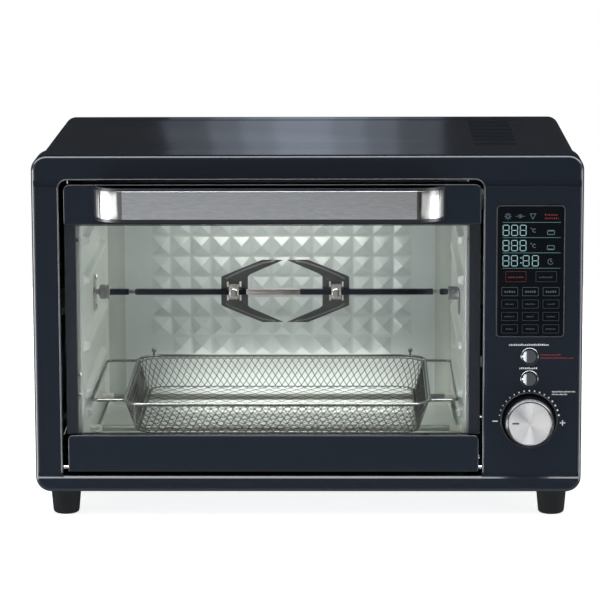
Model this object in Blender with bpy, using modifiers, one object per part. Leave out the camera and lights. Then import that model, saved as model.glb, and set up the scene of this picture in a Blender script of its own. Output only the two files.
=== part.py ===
"""Countertop toaster oven with rotisserie, convection fan and push-and-turn selector.

Units are metres and +Z is up. The front faces -Y and +X is to the right when facing the oven.
The origin is the centre of the bounding box at the surface that the feet stand on.
Depths are measured from the fascia's front plane into the oven: at(depth) gives the Y of a depth.
"""

import math

import bmesh
import bpy
from mathutils import Matrix, Vector

# ---------------------------------------------------------------- driving dimensions

GAP = 0.0003                     # running gap between touching pieces

WIDTH = 0.546                    # fascia, across
FOOT_HEIGHT = 0.027
BODY_TOP = 0.367                 # fascia top above the surface
BODY_DEPTH = 0.360               # fascia front plane to wrapper rear edge
REAR_BULGE = 0.012               # rear cover stands this far behind the wrapper
HANDLE_REACH = 0.030             # handle stands this far in front of the fascia plane
FRONT_Y = -(BODY_DEPTH + REAR_BULGE - HANDLE_REACH) / 2

FASCIA_DEPTH = 0.045
FASCIA_FACE = 0.003              # thickness of the front face
FASCIA_WALL = 0.0025
RIM_FILLET = 0.0045
TOP_CORNER = 0.0155
BOTTOM_CORNER = 0.015

WRAPPER_INSET = 0.003            # wrapper surface inside the fascia's outline
SHEET = 0.001                    # casing sheet thickness
LINER = 0.0008                   # cavity sheet thickness

OPEN_LEFT, OPEN_RIGHT = -0.2457, 0.1743
OPEN_BOTTOM, OPEN_TOP = 0.0412, 0.342
OPEN_LIP = 0.0015                # wall round the door opening
OPEN_LIP_DEPTH = 0.016
BAND_GROOVE = 0.0062             # height of the grooves between bands and side panels
GROOVE_DEPTH = 0.0016

DOOR_LEFT, DOOR_RIGHT = -0.2413, 0.1719     # glass, stiles and top rail
RAIL_LEFT, RAIL_RIGHT = -0.240, 0.1706      # bottom rail
DOOR_BOTTOM, DOOR_TOP = 0.0478, 0.338
DOOR_FRONT, DOOR_BACK = 0.0005, 0.0145
TOP_RAIL_BOTTOM = 0.2976
BOTTOM_RAIL_TOP = 0.085
GLASS_FRONT, GLASS_BACK = 0.0015, 0.0055
STILE_WIDTH = 0.0112

HINGE_DEPTH, HINGE_Z = 0.0072, 0.0512
HINGE_PIN_RADIUS = 0.002
ARM_INNER, ARM_OUTER = 0.031, 0.038

HANDLE_LEFT, HANDLE_RIGHT = -0.211, 0.1375
HANDLE_Z, HANDLE_HEIGHT = 0.3212, 0.0276
HANDLE_SHEET, HANDLE_BACKING = 0.0016, 0.005
HANDLE_BEND = 0.025

CAVITY_LEFT, CAVITY_RIGHT = -0.2255, 0.1565
CAVITY_FLOOR, CAVITY_ROOF = 0.050, 0.325
CAVITY_FRONT, CAVITY_BACK = 0.0165, 0.320
CAVITY_CENTRE = (CAVITY_LEFT + CAVITY_RIGHT) / 2
GUIDE_HEIGHTS = (0.277, 0.237, 0.170, 0.1212, 0.1010)
GUIDE_FRONT, GUIDE_BACK = 0.030, 0.270
GUIDE_RISE = 0.007

PYRAMID_PITCH_X, PYRAMID_PITCH_Z = 0.0219, 0.0222
PYRAMID_RISE = 0.005
PYRAMID_COLUMNS, PYRAMID_ROWS = 13, 8
PYRAMID_CENTRE_X, PYRAMID_BOTTOM = -0.0322, 0.1056

HEATER_RADIUS, CERAMIC_RADIUS, HEATER_HOLE = 0.0032, 0.0040, 0.0046
HEATER_PLACES = {                # name: (depth, height)
    "heater_upper_front": (0.105, 0.305),
    "heater_upper_rear": (0.225, 0.305),
    "heater_lower_front": (0.100, 0.0715),
    "heater_lower_rear": (0.262, 0.0715),
}

SPIT_DEPTH, SPIT_Z = 0.165, 0.203
SPIT_SIDE = 0.006
FORK_SHEET = 0.0012
FORK_LEFT_X, FORK_RIGHT_X = -0.0924, 0.0413
SOCKET_RADIUS = 0.0075

FAN_DEPTH, FAN_Z = 0.232, 0.204
LAMP_DEPTH, LAMP_Z, LAMP_RADIUS = 0.150, 0.302, 0.016
PROBE_DEPTH, PROBE_Z = 0.262, 0.305

BASKET_LEFT, BASKET_RIGHT = -0.1865, 0.1228
BASKET_FRONT, BASKET_BACK = 0.0275, 0.2920
BASKET_TOP, BASKET_BOTTOM = 0.1111, 0.0785
BASKET_CORNER = 0.025
BASKET_DRAFT = 0.009
RIM_WIRE, WING_WIRE = 0.0017, 0.0023
WING_Z, WING_FRONT, WING_BACK = 0.1108, 0.0505, 0.264

DISPLAY_LEFT, DISPLAY_RIGHT = 0.1868, 0.2548
DISPLAY_BOTTOM, DISPLAY_TOP = 0.1846, 0.3170
CONTROL_X = 0.2206
CONVECTION_Z, START_Z, KNOB_Z = 0.1654, 0.1425, 0.1006
RING_OUTER, RING_INNER, BUTTON_RADIUS = 0.0087, 0.0076, 0.0072
RECESS_RADIUS, RECESS_DEPTH = 0.0276, 0.0015
KNOB_RADIUS, KNOB_FACE, KNOB_REACH = 0.0245, 0.0215, 0.0168

FOOT_TOP_RADIUS, FOOT_BOTTOM_RADIUS = 0.0155, 0.013
FOOT_X, FOOT_FRONT_DEPTH, FOOT_BACK_DEPTH = 0.245, 0.0290, 0.328
GLAND_X, GLAND_Z = 0.235, 0.075

# ---------------------------------------------------------------- colours: rgb, roughness, metallic

NAVY = ((0.016, 0.021, 0.032), 0.38, 0.0)
NAVY_SHEET = ((0.015, 0.020, 0.030), 0.45, 0.0)
BLACK = ((0.006, 0.006, 0.007), 0.35, 0.0)
RUBBER = ((0.018, 0.018, 0.018), 0.75, 0.0)
GALVANISED = ((0.46, 0.49, 0.46), 0.32, 1.0)
STAINLESS = ((0.55, 0.55, 0.57), 0.28, 1.0)
CHROME = ((0.72, 0.72, 0.70), 0.10, 1.0)
DARK_STEEL = ((0.05, 0.05, 0.055), 0.35, 1.0)
ALUMINIUM = ((0.75, 0.75, 0.76), 0.25, 1.0)
GLASS = ((0.55, 0.62, 0.58), 0.03, 0.0)
CERAMIC = ((0.62, 0.60, 0.55), 0.5, 0.0)
BOARD_GREEN = ((0.02, 0.12, 0.05), 0.5, 0.0)
MOTOR_STEEL = ((0.35, 0.35, 0.36), 0.4, 1.0)


def at(depth):
    """Y of a depth behind the fascia's front plane."""
    return FRONT_Y + depth


def mirrored(x):
    """The same place on the other side of the cavity."""
    return 2 * CAVITY_CENTRE - x


# ---------------------------------------------------------------- helpers

for old in list(bpy.data.objects):
    bpy.data.objects.remove(old, do_unlink=True)

parts = bpy.data.collections.new("toaster_oven")
cutters = bpy.data.collections.new("cutters")
bpy.context.scene.collection.children.link(parts)
bpy.context.scene.collection.children.link(cutters)

AXIS_TURN = {                    # turns local +Z onto the named axis
    "Z": Matrix.Identity(4),
    "X": Matrix.Rotation(math.pi / 2, 4, "Y"),
    "-X": Matrix.Rotation(-math.pi / 2, 4, "Y"),
    "Y": Matrix.Rotation(-math.pi / 2, 4, "X"),
    "-Y": Matrix.Rotation(math.pi / 2, 4, "X"),
}

PLANE_TURN = {                   # turns a flat outline (u, v) into the named plane
    "XY": Matrix.Identity(4),
    "XZ": Matrix.Rotation(math.pi / 2, 4, "X"),
    "YZ": Matrix(((0, 0, 1, 0), (1, 0, 0, 0), (0, 1, 0, 0), (0, 0, 0, 1))),
}


def finish(obj, look, smooth_angle=35):
    """Gives an object its own material, smooth shading and a place among the parts."""
    colour, roughness, metallic = look
    mat = bpy.data.materials.new(obj.name)
    mat.use_nodes = True
    shader = mat.node_tree.nodes["Principled BSDF"]
    shader.inputs["Base Color"].default_value = (*colour, 1)
    shader.inputs["Roughness"].default_value = roughness
    shader.inputs["Metallic"].default_value = metallic
    obj.data.materials.clear()
    obj.data.materials.append(mat)
    obj.data.shade_smooth()
    obj.data.set_sharp_from_angle(angle=math.radians(smooth_angle))
    parts.objects.link(obj)
    return obj


def tool(obj):
    """Keeps an object as a cutter or a piece to be joined on."""
    cutters.objects.link(obj)
    obj.hide_render = True
    obj.display_type = "WIRE"
    return obj


def combine(target, other, operation):
    tool(other)
    boolean = target.modifiers.new(other.name, "BOOLEAN")
    boolean.operation = operation
    boolean.object = other
    boolean.solver = "EXACT"
    return target


def cut(target, cutter):
    return combine(target, cutter, "DIFFERENCE")


def weld_on(target, piece):
    return combine(target, piece, "UNION")


def rounded(obj, width, segments=2, angle=40):
    bevel = obj.modifiers.new("edges", "BEVEL")
    bevel.width = width
    bevel.segments = segments
    bevel.limit_method = "ANGLE"
    bevel.angle_limit = math.radians(angle)
    return obj


def mesh_object(name, bm):
    mesh = bpy.data.meshes.new(name)
    bm.to_mesh(mesh)
    bm.free()
    return bpy.data.objects.new(name, mesh)


def add_box(bm, low, high):
    low, high = Vector(low), Vector(high)
    size = Matrix.Diagonal((*(high - low), 1))
    return bmesh.ops.create_cube(bm, size=1, matrix=Matrix.Translation((low + high) / 2) @ size)["verts"]


def boxes(name, spans):
    """One object of several separate boxes, each given by its low and high corners."""
    bm = bmesh.new()
    for low, high in spans:
        add_box(bm, low, high)
    return mesh_object(name, bm)


def box(name, low, high):
    """A box whose object sits at its centre."""
    centre = (Vector(low) + Vector(high)) / 2
    obj = boxes(name, [(Vector(low) - centre, Vector(high) - centre)])
    obj.location = centre
    return obj


def cylinder(name, start, axis, radius, length, segments=24, end_radius=None):
    """A cylinder or cone that starts at a point and runs along an axis."""
    bm = bmesh.new()
    bmesh.ops.create_cone(
        bm, cap_ends=True, segments=segments, radius1=radius,
        radius2=radius if end_radius is None else end_radius, depth=length,
        matrix=Matrix.Translation((0, 0, length / 2)))
    obj = mesh_object(name, bm)
    obj.matrix_world = Matrix.Translation(start) @ AXIS_TURN[axis]
    return obj


def rods(name, starts, axis, radius, length, segments=10):
    """One object of several equal cylinders."""
    bm = bmesh.new()
    for start in starts:
        place = Matrix.Translation(start) @ AXIS_TURN[axis] @ Matrix.Translation((0, 0, length / 2))
        bmesh.ops.create_cone(bm, cap_ends=True, segments=segments, radius1=radius,
                              radius2=radius, depth=length, matrix=place)
    return mesh_object(name, bm)


def turned(name, profile, centre, axis, steps=32):
    """A turned solid: the profile lists (radius, height), from the top down its outer side."""
    bm = bmesh.new()
    verts = [bm.verts.new((radius, 0, height)) for radius, height in profile]
    for first, second in zip(verts, verts[1:]):
        bm.edges.new((first, second))
    if profile[0][0] > 0:
        bm.edges.new((verts[-1], verts[0]))
    obj = mesh_object(name, bm)
    obj.matrix_world = Matrix.Translation(centre) @ AXIS_TURN[axis]
    screw = obj.modifiers.new("turn", "SCREW")
    screw.steps = steps
    screw.render_steps = steps
    screw.use_merge_vertices = True
    screw.merge_threshold = 0.00001
    screw.use_smooth_shade = True
    return obj


def curve_to_mesh(curve_obj):
    """The curve's solid as a mesh with its caps welded on and flat faces merged."""
    tool(curve_obj)
    bpy.context.view_layer.update()
    depsgraph = bpy.context.evaluated_depsgraph_get()
    mesh = bpy.data.meshes.new_from_object(curve_obj.evaluated_get(depsgraph))
    place = curve_obj.matrix_world.copy()
    name = curve_obj.name
    bpy.data.objects.remove(curve_obj, do_unlink=True)
    bm = bmesh.new()
    bm.from_mesh(mesh)
    bpy.data.meshes.remove(mesh)
    bmesh.ops.remove_doubles(bm, verts=bm.verts, dist=0.000005)
    bmesh.ops.dissolve_limit(bm, angle_limit=0.001, verts=bm.verts, edges=bm.edges)
    bmesh.ops.recalc_face_normals(bm, faces=bm.faces)
    obj = mesh_object(name, bm)
    obj.matrix_world = place
    return obj


def new_curve(name, dimensions):
    data = bpy.data.curves.new(name, "CURVE")
    data.dimensions = dimensions
    return bpy.data.objects.new(name, data)


def add_spline(curve_obj, points, cyclic):
    spline = curve_obj.data.splines.new("POLY")
    spline.points.add(len(points) - 1)
    for place, point in zip(spline.points, points):
        place.co = (*point, 1) if len(point) == 3 else (*point, 0, 1)
    spline.use_cyclic_u = cyclic


def plate(name, outline, plane, low, high, holes=()):
    """A flat outline with holes, as thick as low to high along the plane's normal."""
    obj = new_curve(name, "2D")
    add_spline(obj, outline, True)
    for hole in holes:
        add_spline(obj, hole, True)
    obj.data.fill_mode = "BOTH"
    obj.data.extrude = (high - low) / 2
    middle = (low + high) / 2
    normal = {"XY": (0, 0, middle), "XZ": (0, middle, 0), "YZ": (middle, 0, 0)}[plane]
    obj.matrix_world = Matrix.Translation(normal) @ PLANE_TURN[plane]
    return curve_to_mesh(obj)


def wire(name, points, radius, cyclic=False, resolution=2):
    """A round wire along a path, as a welded mesh."""
    obj = new_curve(name, "3D")
    obj.data.bevel_depth = radius
    obj.data.bevel_resolution = resolution
    obj.data.use_fill_caps = True
    add_spline(obj, points, cyclic)
    return curve_to_mesh(obj)


def arc(centre, radius, start, end, steps):
    """Points of an arc in a plane, angles in degrees."""
    angles = [math.radians(start + (end - start) * i / steps) for i in range(steps + 1)]
    return [(centre[0] + radius * math.cos(a), centre[1] + radius * math.sin(a)) for a in angles]


def rounded_outline(left, right, bottom, top, low_radius, high_radius, steps=5):
    """A rectangle with round corners, counterclockwise from the lower right."""
    return (arc((right - low_radius, bottom + low_radius), low_radius, -90, 0, steps)
            + arc((right - high_radius, top - high_radius), high_radius, 0, 90, steps)
            + arc((left + high_radius, top - high_radius), high_radius, 90, 180, steps)
            + arc((left + low_radius, bottom + low_radius), low_radius, 180, 270, steps))


def loft(name, rings):
    """A closed solid through rings of equally many 3D points, with flat end caps."""
    bm = bmesh.new()
    loops = [[bm.verts.new(point) for point in ring] for ring in rings]
    count = len(loops[0])
    for lower, upper in zip(loops, loops[1:]):
        for i in range(count):
            j = (i + 1) % count
            bm.faces.new((lower[i], lower[j], upper[j], upper[i]))
    bm.faces.new(loops[0])
    bm.faces.new(loops[-1])
    bmesh.ops.recalc_face_normals(bm, faces=bm.faces)
    return mesh_object(name, bm)


def grow(outline, amount, centre):
    """An outline with every point moved out from a centre along each axis."""
    return [(x + math.copysign(amount, x - centre[0]), z + math.copysign(amount, z - centre[1]))
            for x, z in outline]


def axis_empty(name, place, children):
    """An empty on a joint's axis, parent of the pieces that move about or along it."""
    empty = bpy.data.objects.new(name, None)
    empty.empty_display_size = 0.02
    empty.location = place
    parts.objects.link(empty)
    for child in children:
        child.parent = empty
        child.matrix_parent_inverse = Matrix.Translation(place).inverted()


# ---------------------------------------------------------------- casing

def front_frame():
    half = WIDTH / 2
    outline = rounded_outline(-half, half, FOOT_HEIGHT, BODY_TOP, BOTTOM_CORNER, TOP_CORNER)
    frame = plate("front_frame", outline, "XZ", at(0), at(FASCIA_DEPTH))
    weights = frame.data.attributes.new("bevel_weight_edge", "FLOAT", "EDGE")
    for edge in frame.data.edges:
        places = [frame.matrix_world @ frame.data.vertices[i].co for i in edge.vertices]
        weights.data[edge.index].value = float(all(abs(p.y - at(0)) < 0.0001 for p in places))
    bevel = frame.modifiers.new("rim", "BEVEL")
    bevel.limit_method = "WEIGHT"
    bevel.width = RIM_FILLET
    bevel.segments = 3

    inner = rounded_outline(-half + FASCIA_WALL, half - FASCIA_WALL, FOOT_HEIGHT + FASCIA_WALL,
                            BODY_TOP - FASCIA_WALL, BOTTOM_CORNER - FASCIA_WALL, TOP_CORNER - FASCIA_WALL)
    opening = rounded_outline(OPEN_LEFT, OPEN_RIGHT, OPEN_BOTTOM, OPEN_TOP, 0.003, 0.008, 4)
    lip = rounded_outline(OPEN_LEFT - OPEN_LIP, OPEN_RIGHT + OPEN_LIP, OPEN_BOTTOM - OPEN_LIP,
                          OPEN_TOP + OPEN_LIP, 0.0045, 0.0095, 4)
    cut(frame, plate("fascia_hollow_front", inner, "XZ", at(FASCIA_FACE), at(OPEN_LIP_DEPTH + 0.001), [lip]))
    cut(frame, plate("fascia_hollow_back", inner, "XZ", at(OPEN_LIP_DEPTH), at(FASCIA_DEPTH + 0.01)))
    cut(frame, plate("door_opening", opening, "XZ", at(-0.01), at(0.03)))

    middle = ((OPEN_LEFT + OPEN_RIGHT) / 2, (OPEN_BOTTOM + OPEN_TOP) / 2)
    chamfer = [[(x, at(depth), z) for x, z in grow(opening, amount, middle)]
               for depth, amount in ((-0.001, 0.0019), (0.0009, 0.0))]
    cut(frame, loft("opening_chamfer", chamfer))

    groove_left, groove_right = -half + RIM_FILLET + 0.001, half - RIM_FILLET - 0.001
    spans = []
    for low in (OPEN_BOTTOM, OPEN_TOP - BAND_GROOVE):
        spans.append(((groove_left, at(-0.01), low), (OPEN_LEFT + 0.004, at(GROOVE_DEPTH), low + BAND_GROOVE)))
        spans.append(((OPEN_RIGHT - 0.004, at(-0.01), low), (groove_right, at(GROOVE_DEPTH), low + BAND_GROOVE)))
    cut(frame, boxes("band_grooves", spans))

    window = rounded_outline(DISPLAY_LEFT - GAP, DISPLAY_RIGHT + GAP, DISPLAY_BOTTOM - GAP,
                             DISPLAY_TOP + GAP, 0.004, 0.004, 3)
    cut(frame, plate("window_hole", window, "XZ", at(-0.01), at(0.012)))
    button_places = [(CONTROL_X, at(-0.01), z) for z in (CONVECTION_Z, START_Z)]
    cut(frame, rods("button_holes", button_places, "Y", RING_OUTER + GAP, 0.02, 24))
    cut(frame, cylinder("knob_recess", (CONTROL_X, at(RECESS_DEPTH), KNOB_Z), "-Y", RECESS_RADIUS, 0.01, 40))
    cut(frame, cylinder("shaft_hole", (CONTROL_X, at(-0.01), KNOB_Z), "Y", 0.0046, 0.02, 16))
    return finish(frame, NAVY)


def louvre_spans():
    """Vent slots of the wrapper: a field on top at the right, and one low on each side."""
    top = BODY_TOP - WRAPPER_INSET
    side = WIDTH / 2 - WRAPPER_INSET
    spans = []
    for i in range(18):
        depth = 0.104 + i * 0.0125
        spans.append(((0.169, at(depth), top - 0.004), (0.2125, at(depth + 0.0035), top + 0.004)))
    for sign in (-1, 1):
        for i in range(14):
            depth = 0.130 + i * 0.0125
            low_x, high_x = sorted((sign * (side - 0.004), sign * (side + 0.004)))
            spans.append(((low_x, at(depth), 0.070), (high_x, at(depth + 0.0035), 0.125)))
    return spans


def outer_cabinet():
    side = WIDTH / 2 - WRAPPER_INSET
    top = BODY_TOP - WRAPPER_INSET
    bottom = FOOT_HEIGHT + 0.0006
    radius = TOP_CORNER - WRAPPER_INSET
    outer = ([(side, bottom)] + arc((side - radius, top - radius), radius, 0, 90, 6)
             + arc((radius - side, top - radius), radius, 90, 180, 6) + [(-side, bottom)])
    inner = ([(SHEET - side, bottom)] + arc((radius - side, top - radius), radius - SHEET, 180, 90, 6)
             + arc((side - radius, top - radius), radius - SHEET, 90, 0, 6) + [(side - SHEET, bottom)])
    wrapper = plate("outer_cabinet", outer + inner, "XZ", at(0.038), at(BODY_DEPTH))
    cut(wrapper, box("top_emboss", (-0.2325, at(0.129), top - 0.0005), (0.2305, at(0.333), top + 0.005)))
    cut(wrapper, boxes("louvres", louvre_spans()))
    corner = side - radius
    notches = [((x, at(0.03), 0.02), (x + 0.03, at(FASCIA_DEPTH + 0.0005), FOOT_HEIGHT + BOTTOM_CORNER))
               for x in (-corner - 0.03, corner)]
    cut(wrapper, boxes("corner_notches", notches))
    return finish(wrapper, NAVY_SHEET)


def rear_cover():
    """A flat sheet with a raised field, pressed from one piece."""
    half = WIDTH / 2 - 0.0045
    low, high = FOOT_HEIGHT + 0.003, BODY_TOP - 0.0045
    rear = at(BODY_DEPTH + GAP)
    bm = bmesh.new()
    corners = ((half, low), (-half, low), (-half, high), (half, high))
    face = bm.faces.new([bm.verts.new((x, rear, z)) for x, z in corners])
    bm.normal_update()
    bmesh.ops.inset_individual(bm, faces=[face], thickness=0.055, use_even_offset=True)
    bmesh.ops.inset_individual(bm, faces=[face], thickness=0.010, depth=REAR_BULGE - SHEET - GAP,
                               use_even_offset=True)
    cover = mesh_object("rear_cover", bm)
    sheet = cover.modifiers.new("sheet", "SOLIDIFY")
    sheet.thickness = SHEET
    sheet.offset = 1
    slots = []
    for row in range(2):
        for i in range(12):
            x = -0.150 + i * 0.0245
            low_z = 0.125 + row * 0.110
            slots.append(((x, at(0.355), low_z), (x + 0.004, at(0.380), low_z + 0.045)))
    cut(cover, boxes("rear_slots", slots))
    cut(cover, cylinder("gland_hole", (GLAND_X, at(0.35), GLAND_Z), "Y", 0.0075, 0.03, 20))
    return finish(cover, NAVY_SHEET)


def base_plate():
    half = WIDTH / 2 - 0.0045
    base = box("base_plate", (-half, at(FASCIA_DEPTH + GAP), FOOT_HEIGHT + 0.0004),
               (half, at(BODY_DEPTH - 0.001), FOOT_HEIGHT + 0.0014))
    slots = [((0.175 + i * 0.012, at(0.15), 0.02), (0.179 + i * 0.012, at(0.25), 0.04)) for i in range(6)]
    cut(base, boxes("base_slots", slots))
    return finish(base, NAVY_SHEET)


def foot(name, x, depth):
    profile = [
        (0, FOOT_HEIGHT - GAP),
        (FOOT_TOP_RADIUS, FOOT_HEIGHT - GAP),
        (FOOT_TOP_RADIUS, FOOT_HEIGHT - 0.003),
        (FOOT_BOTTOM_RADIUS + 0.0006, 0.0025),
        (FOOT_BOTTOM_RADIUS, 0.0008),
        (FOOT_BOTTOM_RADIUS - 0.0015, 0),
        (0.006, 0),
        (0.006, 0.006),
        (0, 0.006),
    ]
    return finish(turned(name, profile, (x, at(depth), 0), "Z", 28), RUBBER)


def cord_gland():
    """Strain-relief bush through the rear cover, with its cord channel left open."""
    profile = [
        (0.0042, 0.0115),
        (0.0090, 0.0115),
        (0.0105, 0.0100),
        (0.0105, 0.0018),
        (0.0070, 0.0018),
        (0.0070, -0.0050),
        (0.0042, -0.0050),
    ]
    return finish(turned("cord_gland", profile, (GLAND_X, at(BODY_DEPTH + GAP), GLAND_Z), "Y", 24), BLACK)


# ---------------------------------------------------------------- cavity

def guide_frustums(name, base_x, crest_x, inset):
    """Raised bars of the side wall: one frustum for each rack guide."""
    bm = bmesh.new()
    for height in GUIDE_HEIGHTS:
        low = (0, at(GUIDE_FRONT + inset), height - 0.006 + inset)
        high = (1, at(GUIDE_BACK - inset), height + 0.006 - inset)
        for vert in add_box(bm, low, high):
            on_crest = vert.co.x > 0.5
            vert.co.x = crest_x if on_crest else base_x
            if on_crest:
                vert.co.y += math.copysign(0.005, at(0.15) - vert.co.y)
                vert.co.z += math.copysign(0.0030, height - vert.co.z)
    bmesh.ops.recalc_face_normals(bm, faces=bm.faces)
    return mesh_object(name, bm)


def side_wall(name, wall_x, inward):
    """A liner sheet with a front flange turned outward and pressed rack guides."""
    outside = wall_x - inward * LINER
    flange = wall_x - inward * 0.006
    front, back = at(CAVITY_FRONT), at(CAVITY_BACK - GAP)
    outline = [(flange, front), (wall_x, front), (wall_x, back), (outside, back),
               (outside, front + LINER), (flange, front + LINER)]
    wall = plate(name, outline, "XY", CAVITY_FLOOR + GAP, CAVITY_ROOF - GAP)
    crest = wall_x + inward * GUIDE_RISE
    weld_on(wall, guide_frustums(name + "_guides", wall_x - inward * LINER / 2, crest, 0))
    cut(wall, guide_frustums(name + "_guide_backs", outside - inward * 0.002, crest - inward * LINER, LINER))
    holes = [(wall_x - 0.01, at(depth), height) for depth, height in HEATER_PLACES.values()]
    cut(wall, rods(name + "_heater_holes", holes, "X", HEATER_HOLE, 0.02, 12))
    return wall


def cavity_left_wall():
    wall = side_wall("cavity_left_wall", CAVITY_LEFT, 1)
    place = (CAVITY_LEFT - 0.01, at(SPIT_DEPTH), SPIT_Z)
    cut(wall, cylinder("socket_shaft_hole", place, "X", 0.005, 0.02, 16))
    return finish(wall, GALVANISED, 25)


def cavity_right_wall():
    wall = side_wall("cavity_right_wall", CAVITY_RIGHT, -1)
    near = CAVITY_RIGHT - 0.01
    cut(wall, cylinder("lamp_hole", (near, at(LAMP_DEPTH), LAMP_Z), "X", LAMP_RADIUS - 0.002, 0.02, 24))
    cut(wall, cylinder("probe_hole", (near, at(PROBE_DEPTH), PROBE_Z), "X", 0.0030, 0.02, 12))
    holes = [(near, at(FAN_DEPTH + 0.012 * i), FAN_Z + 0.012 * j) for i in (-1, 0, 1) for j in (-1, 0, 1)]
    cut(wall, rods("fan_holes", holes, "X", 0.003, 0.02, 10))
    return finish(wall, GALVANISED, 25)


def cavity_roof():
    return finish(box("cavity_roof", (CAVITY_LEFT - 0.006, at(CAVITY_FRONT), CAVITY_ROOF),
                      (CAVITY_RIGHT + 0.006, at(CAVITY_BACK + LINER), CAVITY_ROOF + LINER)), GALVANISED)


def cavity_floor():
    return finish(box("cavity_floor", (CAVITY_LEFT - 0.006, at(CAVITY_FRONT), CAVITY_FLOOR - LINER),
                      (CAVITY_RIGHT + 0.006, at(CAVITY_BACK + LINER), CAVITY_FLOOR)), GALVANISED)


def cavity_back():
    """The back sheet, pressed with rows of low square pyramids."""
    left = PYRAMID_CENTRE_X - PYRAMID_COLUMNS * PYRAMID_PITCH_X / 2
    xs = ([CAVITY_LEFT - LINER] + [left + i * PYRAMID_PITCH_X for i in range(PYRAMID_COLUMNS + 1)]
          + [CAVITY_RIGHT + LINER])
    zs = ([CAVITY_FLOOR + GAP] + [PYRAMID_BOTTOM + i * PYRAMID_PITCH_Z for i in range(PYRAMID_ROWS + 1)]
          + [CAVITY_ROOF - GAP])
    bm = bmesh.new()
    grid = [[bm.verts.new((x, at(CAVITY_BACK), z)) for x in xs] for z in zs]
    pyramids = []
    for row in range(len(zs) - 1):
        for column in range(len(xs) - 1):
            corners = (grid[row][column], grid[row][column + 1], grid[row + 1][column + 1], grid[row + 1][column])
            face = bm.faces.new(corners)
            in_field = 1 <= row <= PYRAMID_ROWS and 1 <= column <= PYRAMID_COLUMNS
            missing = row == 1 and column in (1, PYRAMID_COLUMNS)
            if in_field and not missing:
                pyramids.append(face)
    bm.normal_update()
    bmesh.ops.poke(bm, faces=pyramids, offset=PYRAMID_RISE)
    back = mesh_object("cavity_back", bm)
    sheet = back.modifiers.new("sheet", "SOLIDIFY")
    sheet.thickness = LINER
    sheet.offset = -1
    return finish(back, GALVANISED, 5)


def crumb_tray():
    low = (CAVITY_LEFT + 0.004, at(0.025), CAVITY_FLOOR + GAP)
    high = (CAVITY_RIGHT - 0.004, at(0.314), CAVITY_FLOOR + 0.0075)
    tray = box("crumb_tray", low, high)
    hollow_low = (low[0] + 0.001, low[1] + 0.001, low[2] + LINER)
    cut(tray, box("tray_hollow", hollow_low, (high[0] - 0.001, high[1] - 0.001, high[2] + 0.01)))
    return finish(tray, GALVANISED)


def heater(name):
    """A sheathed rod heater with a ceramic bush at each end."""
    depth, height = HEATER_PLACES[name]
    end = (CAVITY_RIGHT - CAVITY_LEFT) / 2 + 0.0075
    profile = [
        (0, end),
        (CERAMIC_RADIUS, end),
        (CERAMIC_RADIUS, end - 0.020),
        (HEATER_RADIUS, end - 0.0205),
        (HEATER_RADIUS, 0.0205 - end),
        (CERAMIC_RADIUS, 0.020 - end),
        (CERAMIC_RADIUS, -end),
        (0, -end),
    ]
    return finish(turned(name, profile, (CAVITY_CENTRE, at(depth), height), "X", 14), DARK_STEEL)


def lamp_lens():
    profile = [
        (0, 0.0075),
        (0.0070, 0.0068),
        (0.0115, 0.0048),
        (0.0145, 0.0015),
        (LAMP_RADIUS, GAP),
        (0, GAP),
    ]
    return finish(turned("lamp_lens", profile, (CAVITY_RIGHT, at(LAMP_DEPTH), LAMP_Z), "-X", 24), GLASS)


def lamp_holder():
    profile = [
        (0, 0.0340),
        (0.0110, 0.0340),
        (0.0110, 0.0120),
        (0.0180, 0.0090),
        (0.0180, LINER + GAP),
        (0.0140, LINER + GAP),
        (0.0140, 0.0070),
        (0, 0.0070),
    ]
    return finish(turned("lamp_holder", profile, (CAVITY_RIGHT, at(LAMP_DEPTH), LAMP_Z), "X", 24), CERAMIC)


def temperature_probe():
    profile = [
        (0, 0.046),
        (0.0022, 0.045),
        (0.0022, -0.012),
        (0, -0.012),
    ]
    return finish(turned("temperature_probe", profile, (CAVITY_RIGHT, at(PROBE_DEPTH), PROBE_Z), "-X", 12), STAINLESS)


# ---------------------------------------------------------------- rotisserie

def rotisserie_motor():
    gearbox = box("rotisserie_motor", (CAVITY_LEFT - 0.020, at(SPIT_DEPTH - 0.027), SPIT_Z - 0.030),
                  (CAVITY_LEFT - 0.0022, at(SPIT_DEPTH + 0.027), SPIT_Z + 0.024))
    can = cylinder("motor_can", (CAVITY_LEFT - 0.019, at(SPIT_DEPTH), SPIT_Z - 0.004), "-X", 0.020, 0.020)
    return finish(weld_on(gearbox, can), MOTOR_STEEL)


def socket_flange():
    """Fixed plate round the drive socket, held by two screws."""
    outline = (arc((at(SPIT_DEPTH), SPIT_Z + 0.016), 0.005, 20, 160, 5)
               + arc((at(SPIT_DEPTH), SPIT_Z), 0.0125, 140, 220, 5)
               + arc((at(SPIT_DEPTH), SPIT_Z - 0.016), 0.005, 200, 340, 5)
               + arc((at(SPIT_DEPTH), SPIT_Z), 0.0125, -40, 40, 5))
    flange = plate("socket_flange", outline, "YZ", CAVITY_LEFT + GAP, CAVITY_LEFT + 0.0022)
    heads = [(CAVITY_LEFT + 0.002, at(SPIT_DEPTH), SPIT_Z + dz) for dz in (-0.016, 0.016)]
    weld_on(flange, rods("flange_screws", heads, "X", 0.0032, 0.0022, 12))
    place = (CAVITY_LEFT - 0.01, at(SPIT_DEPTH), SPIT_Z)
    cut(flange, cylinder("flange_bore", place, "X", 0.0036, 0.02, 16))
    return finish(flange, STAINLESS)


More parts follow.
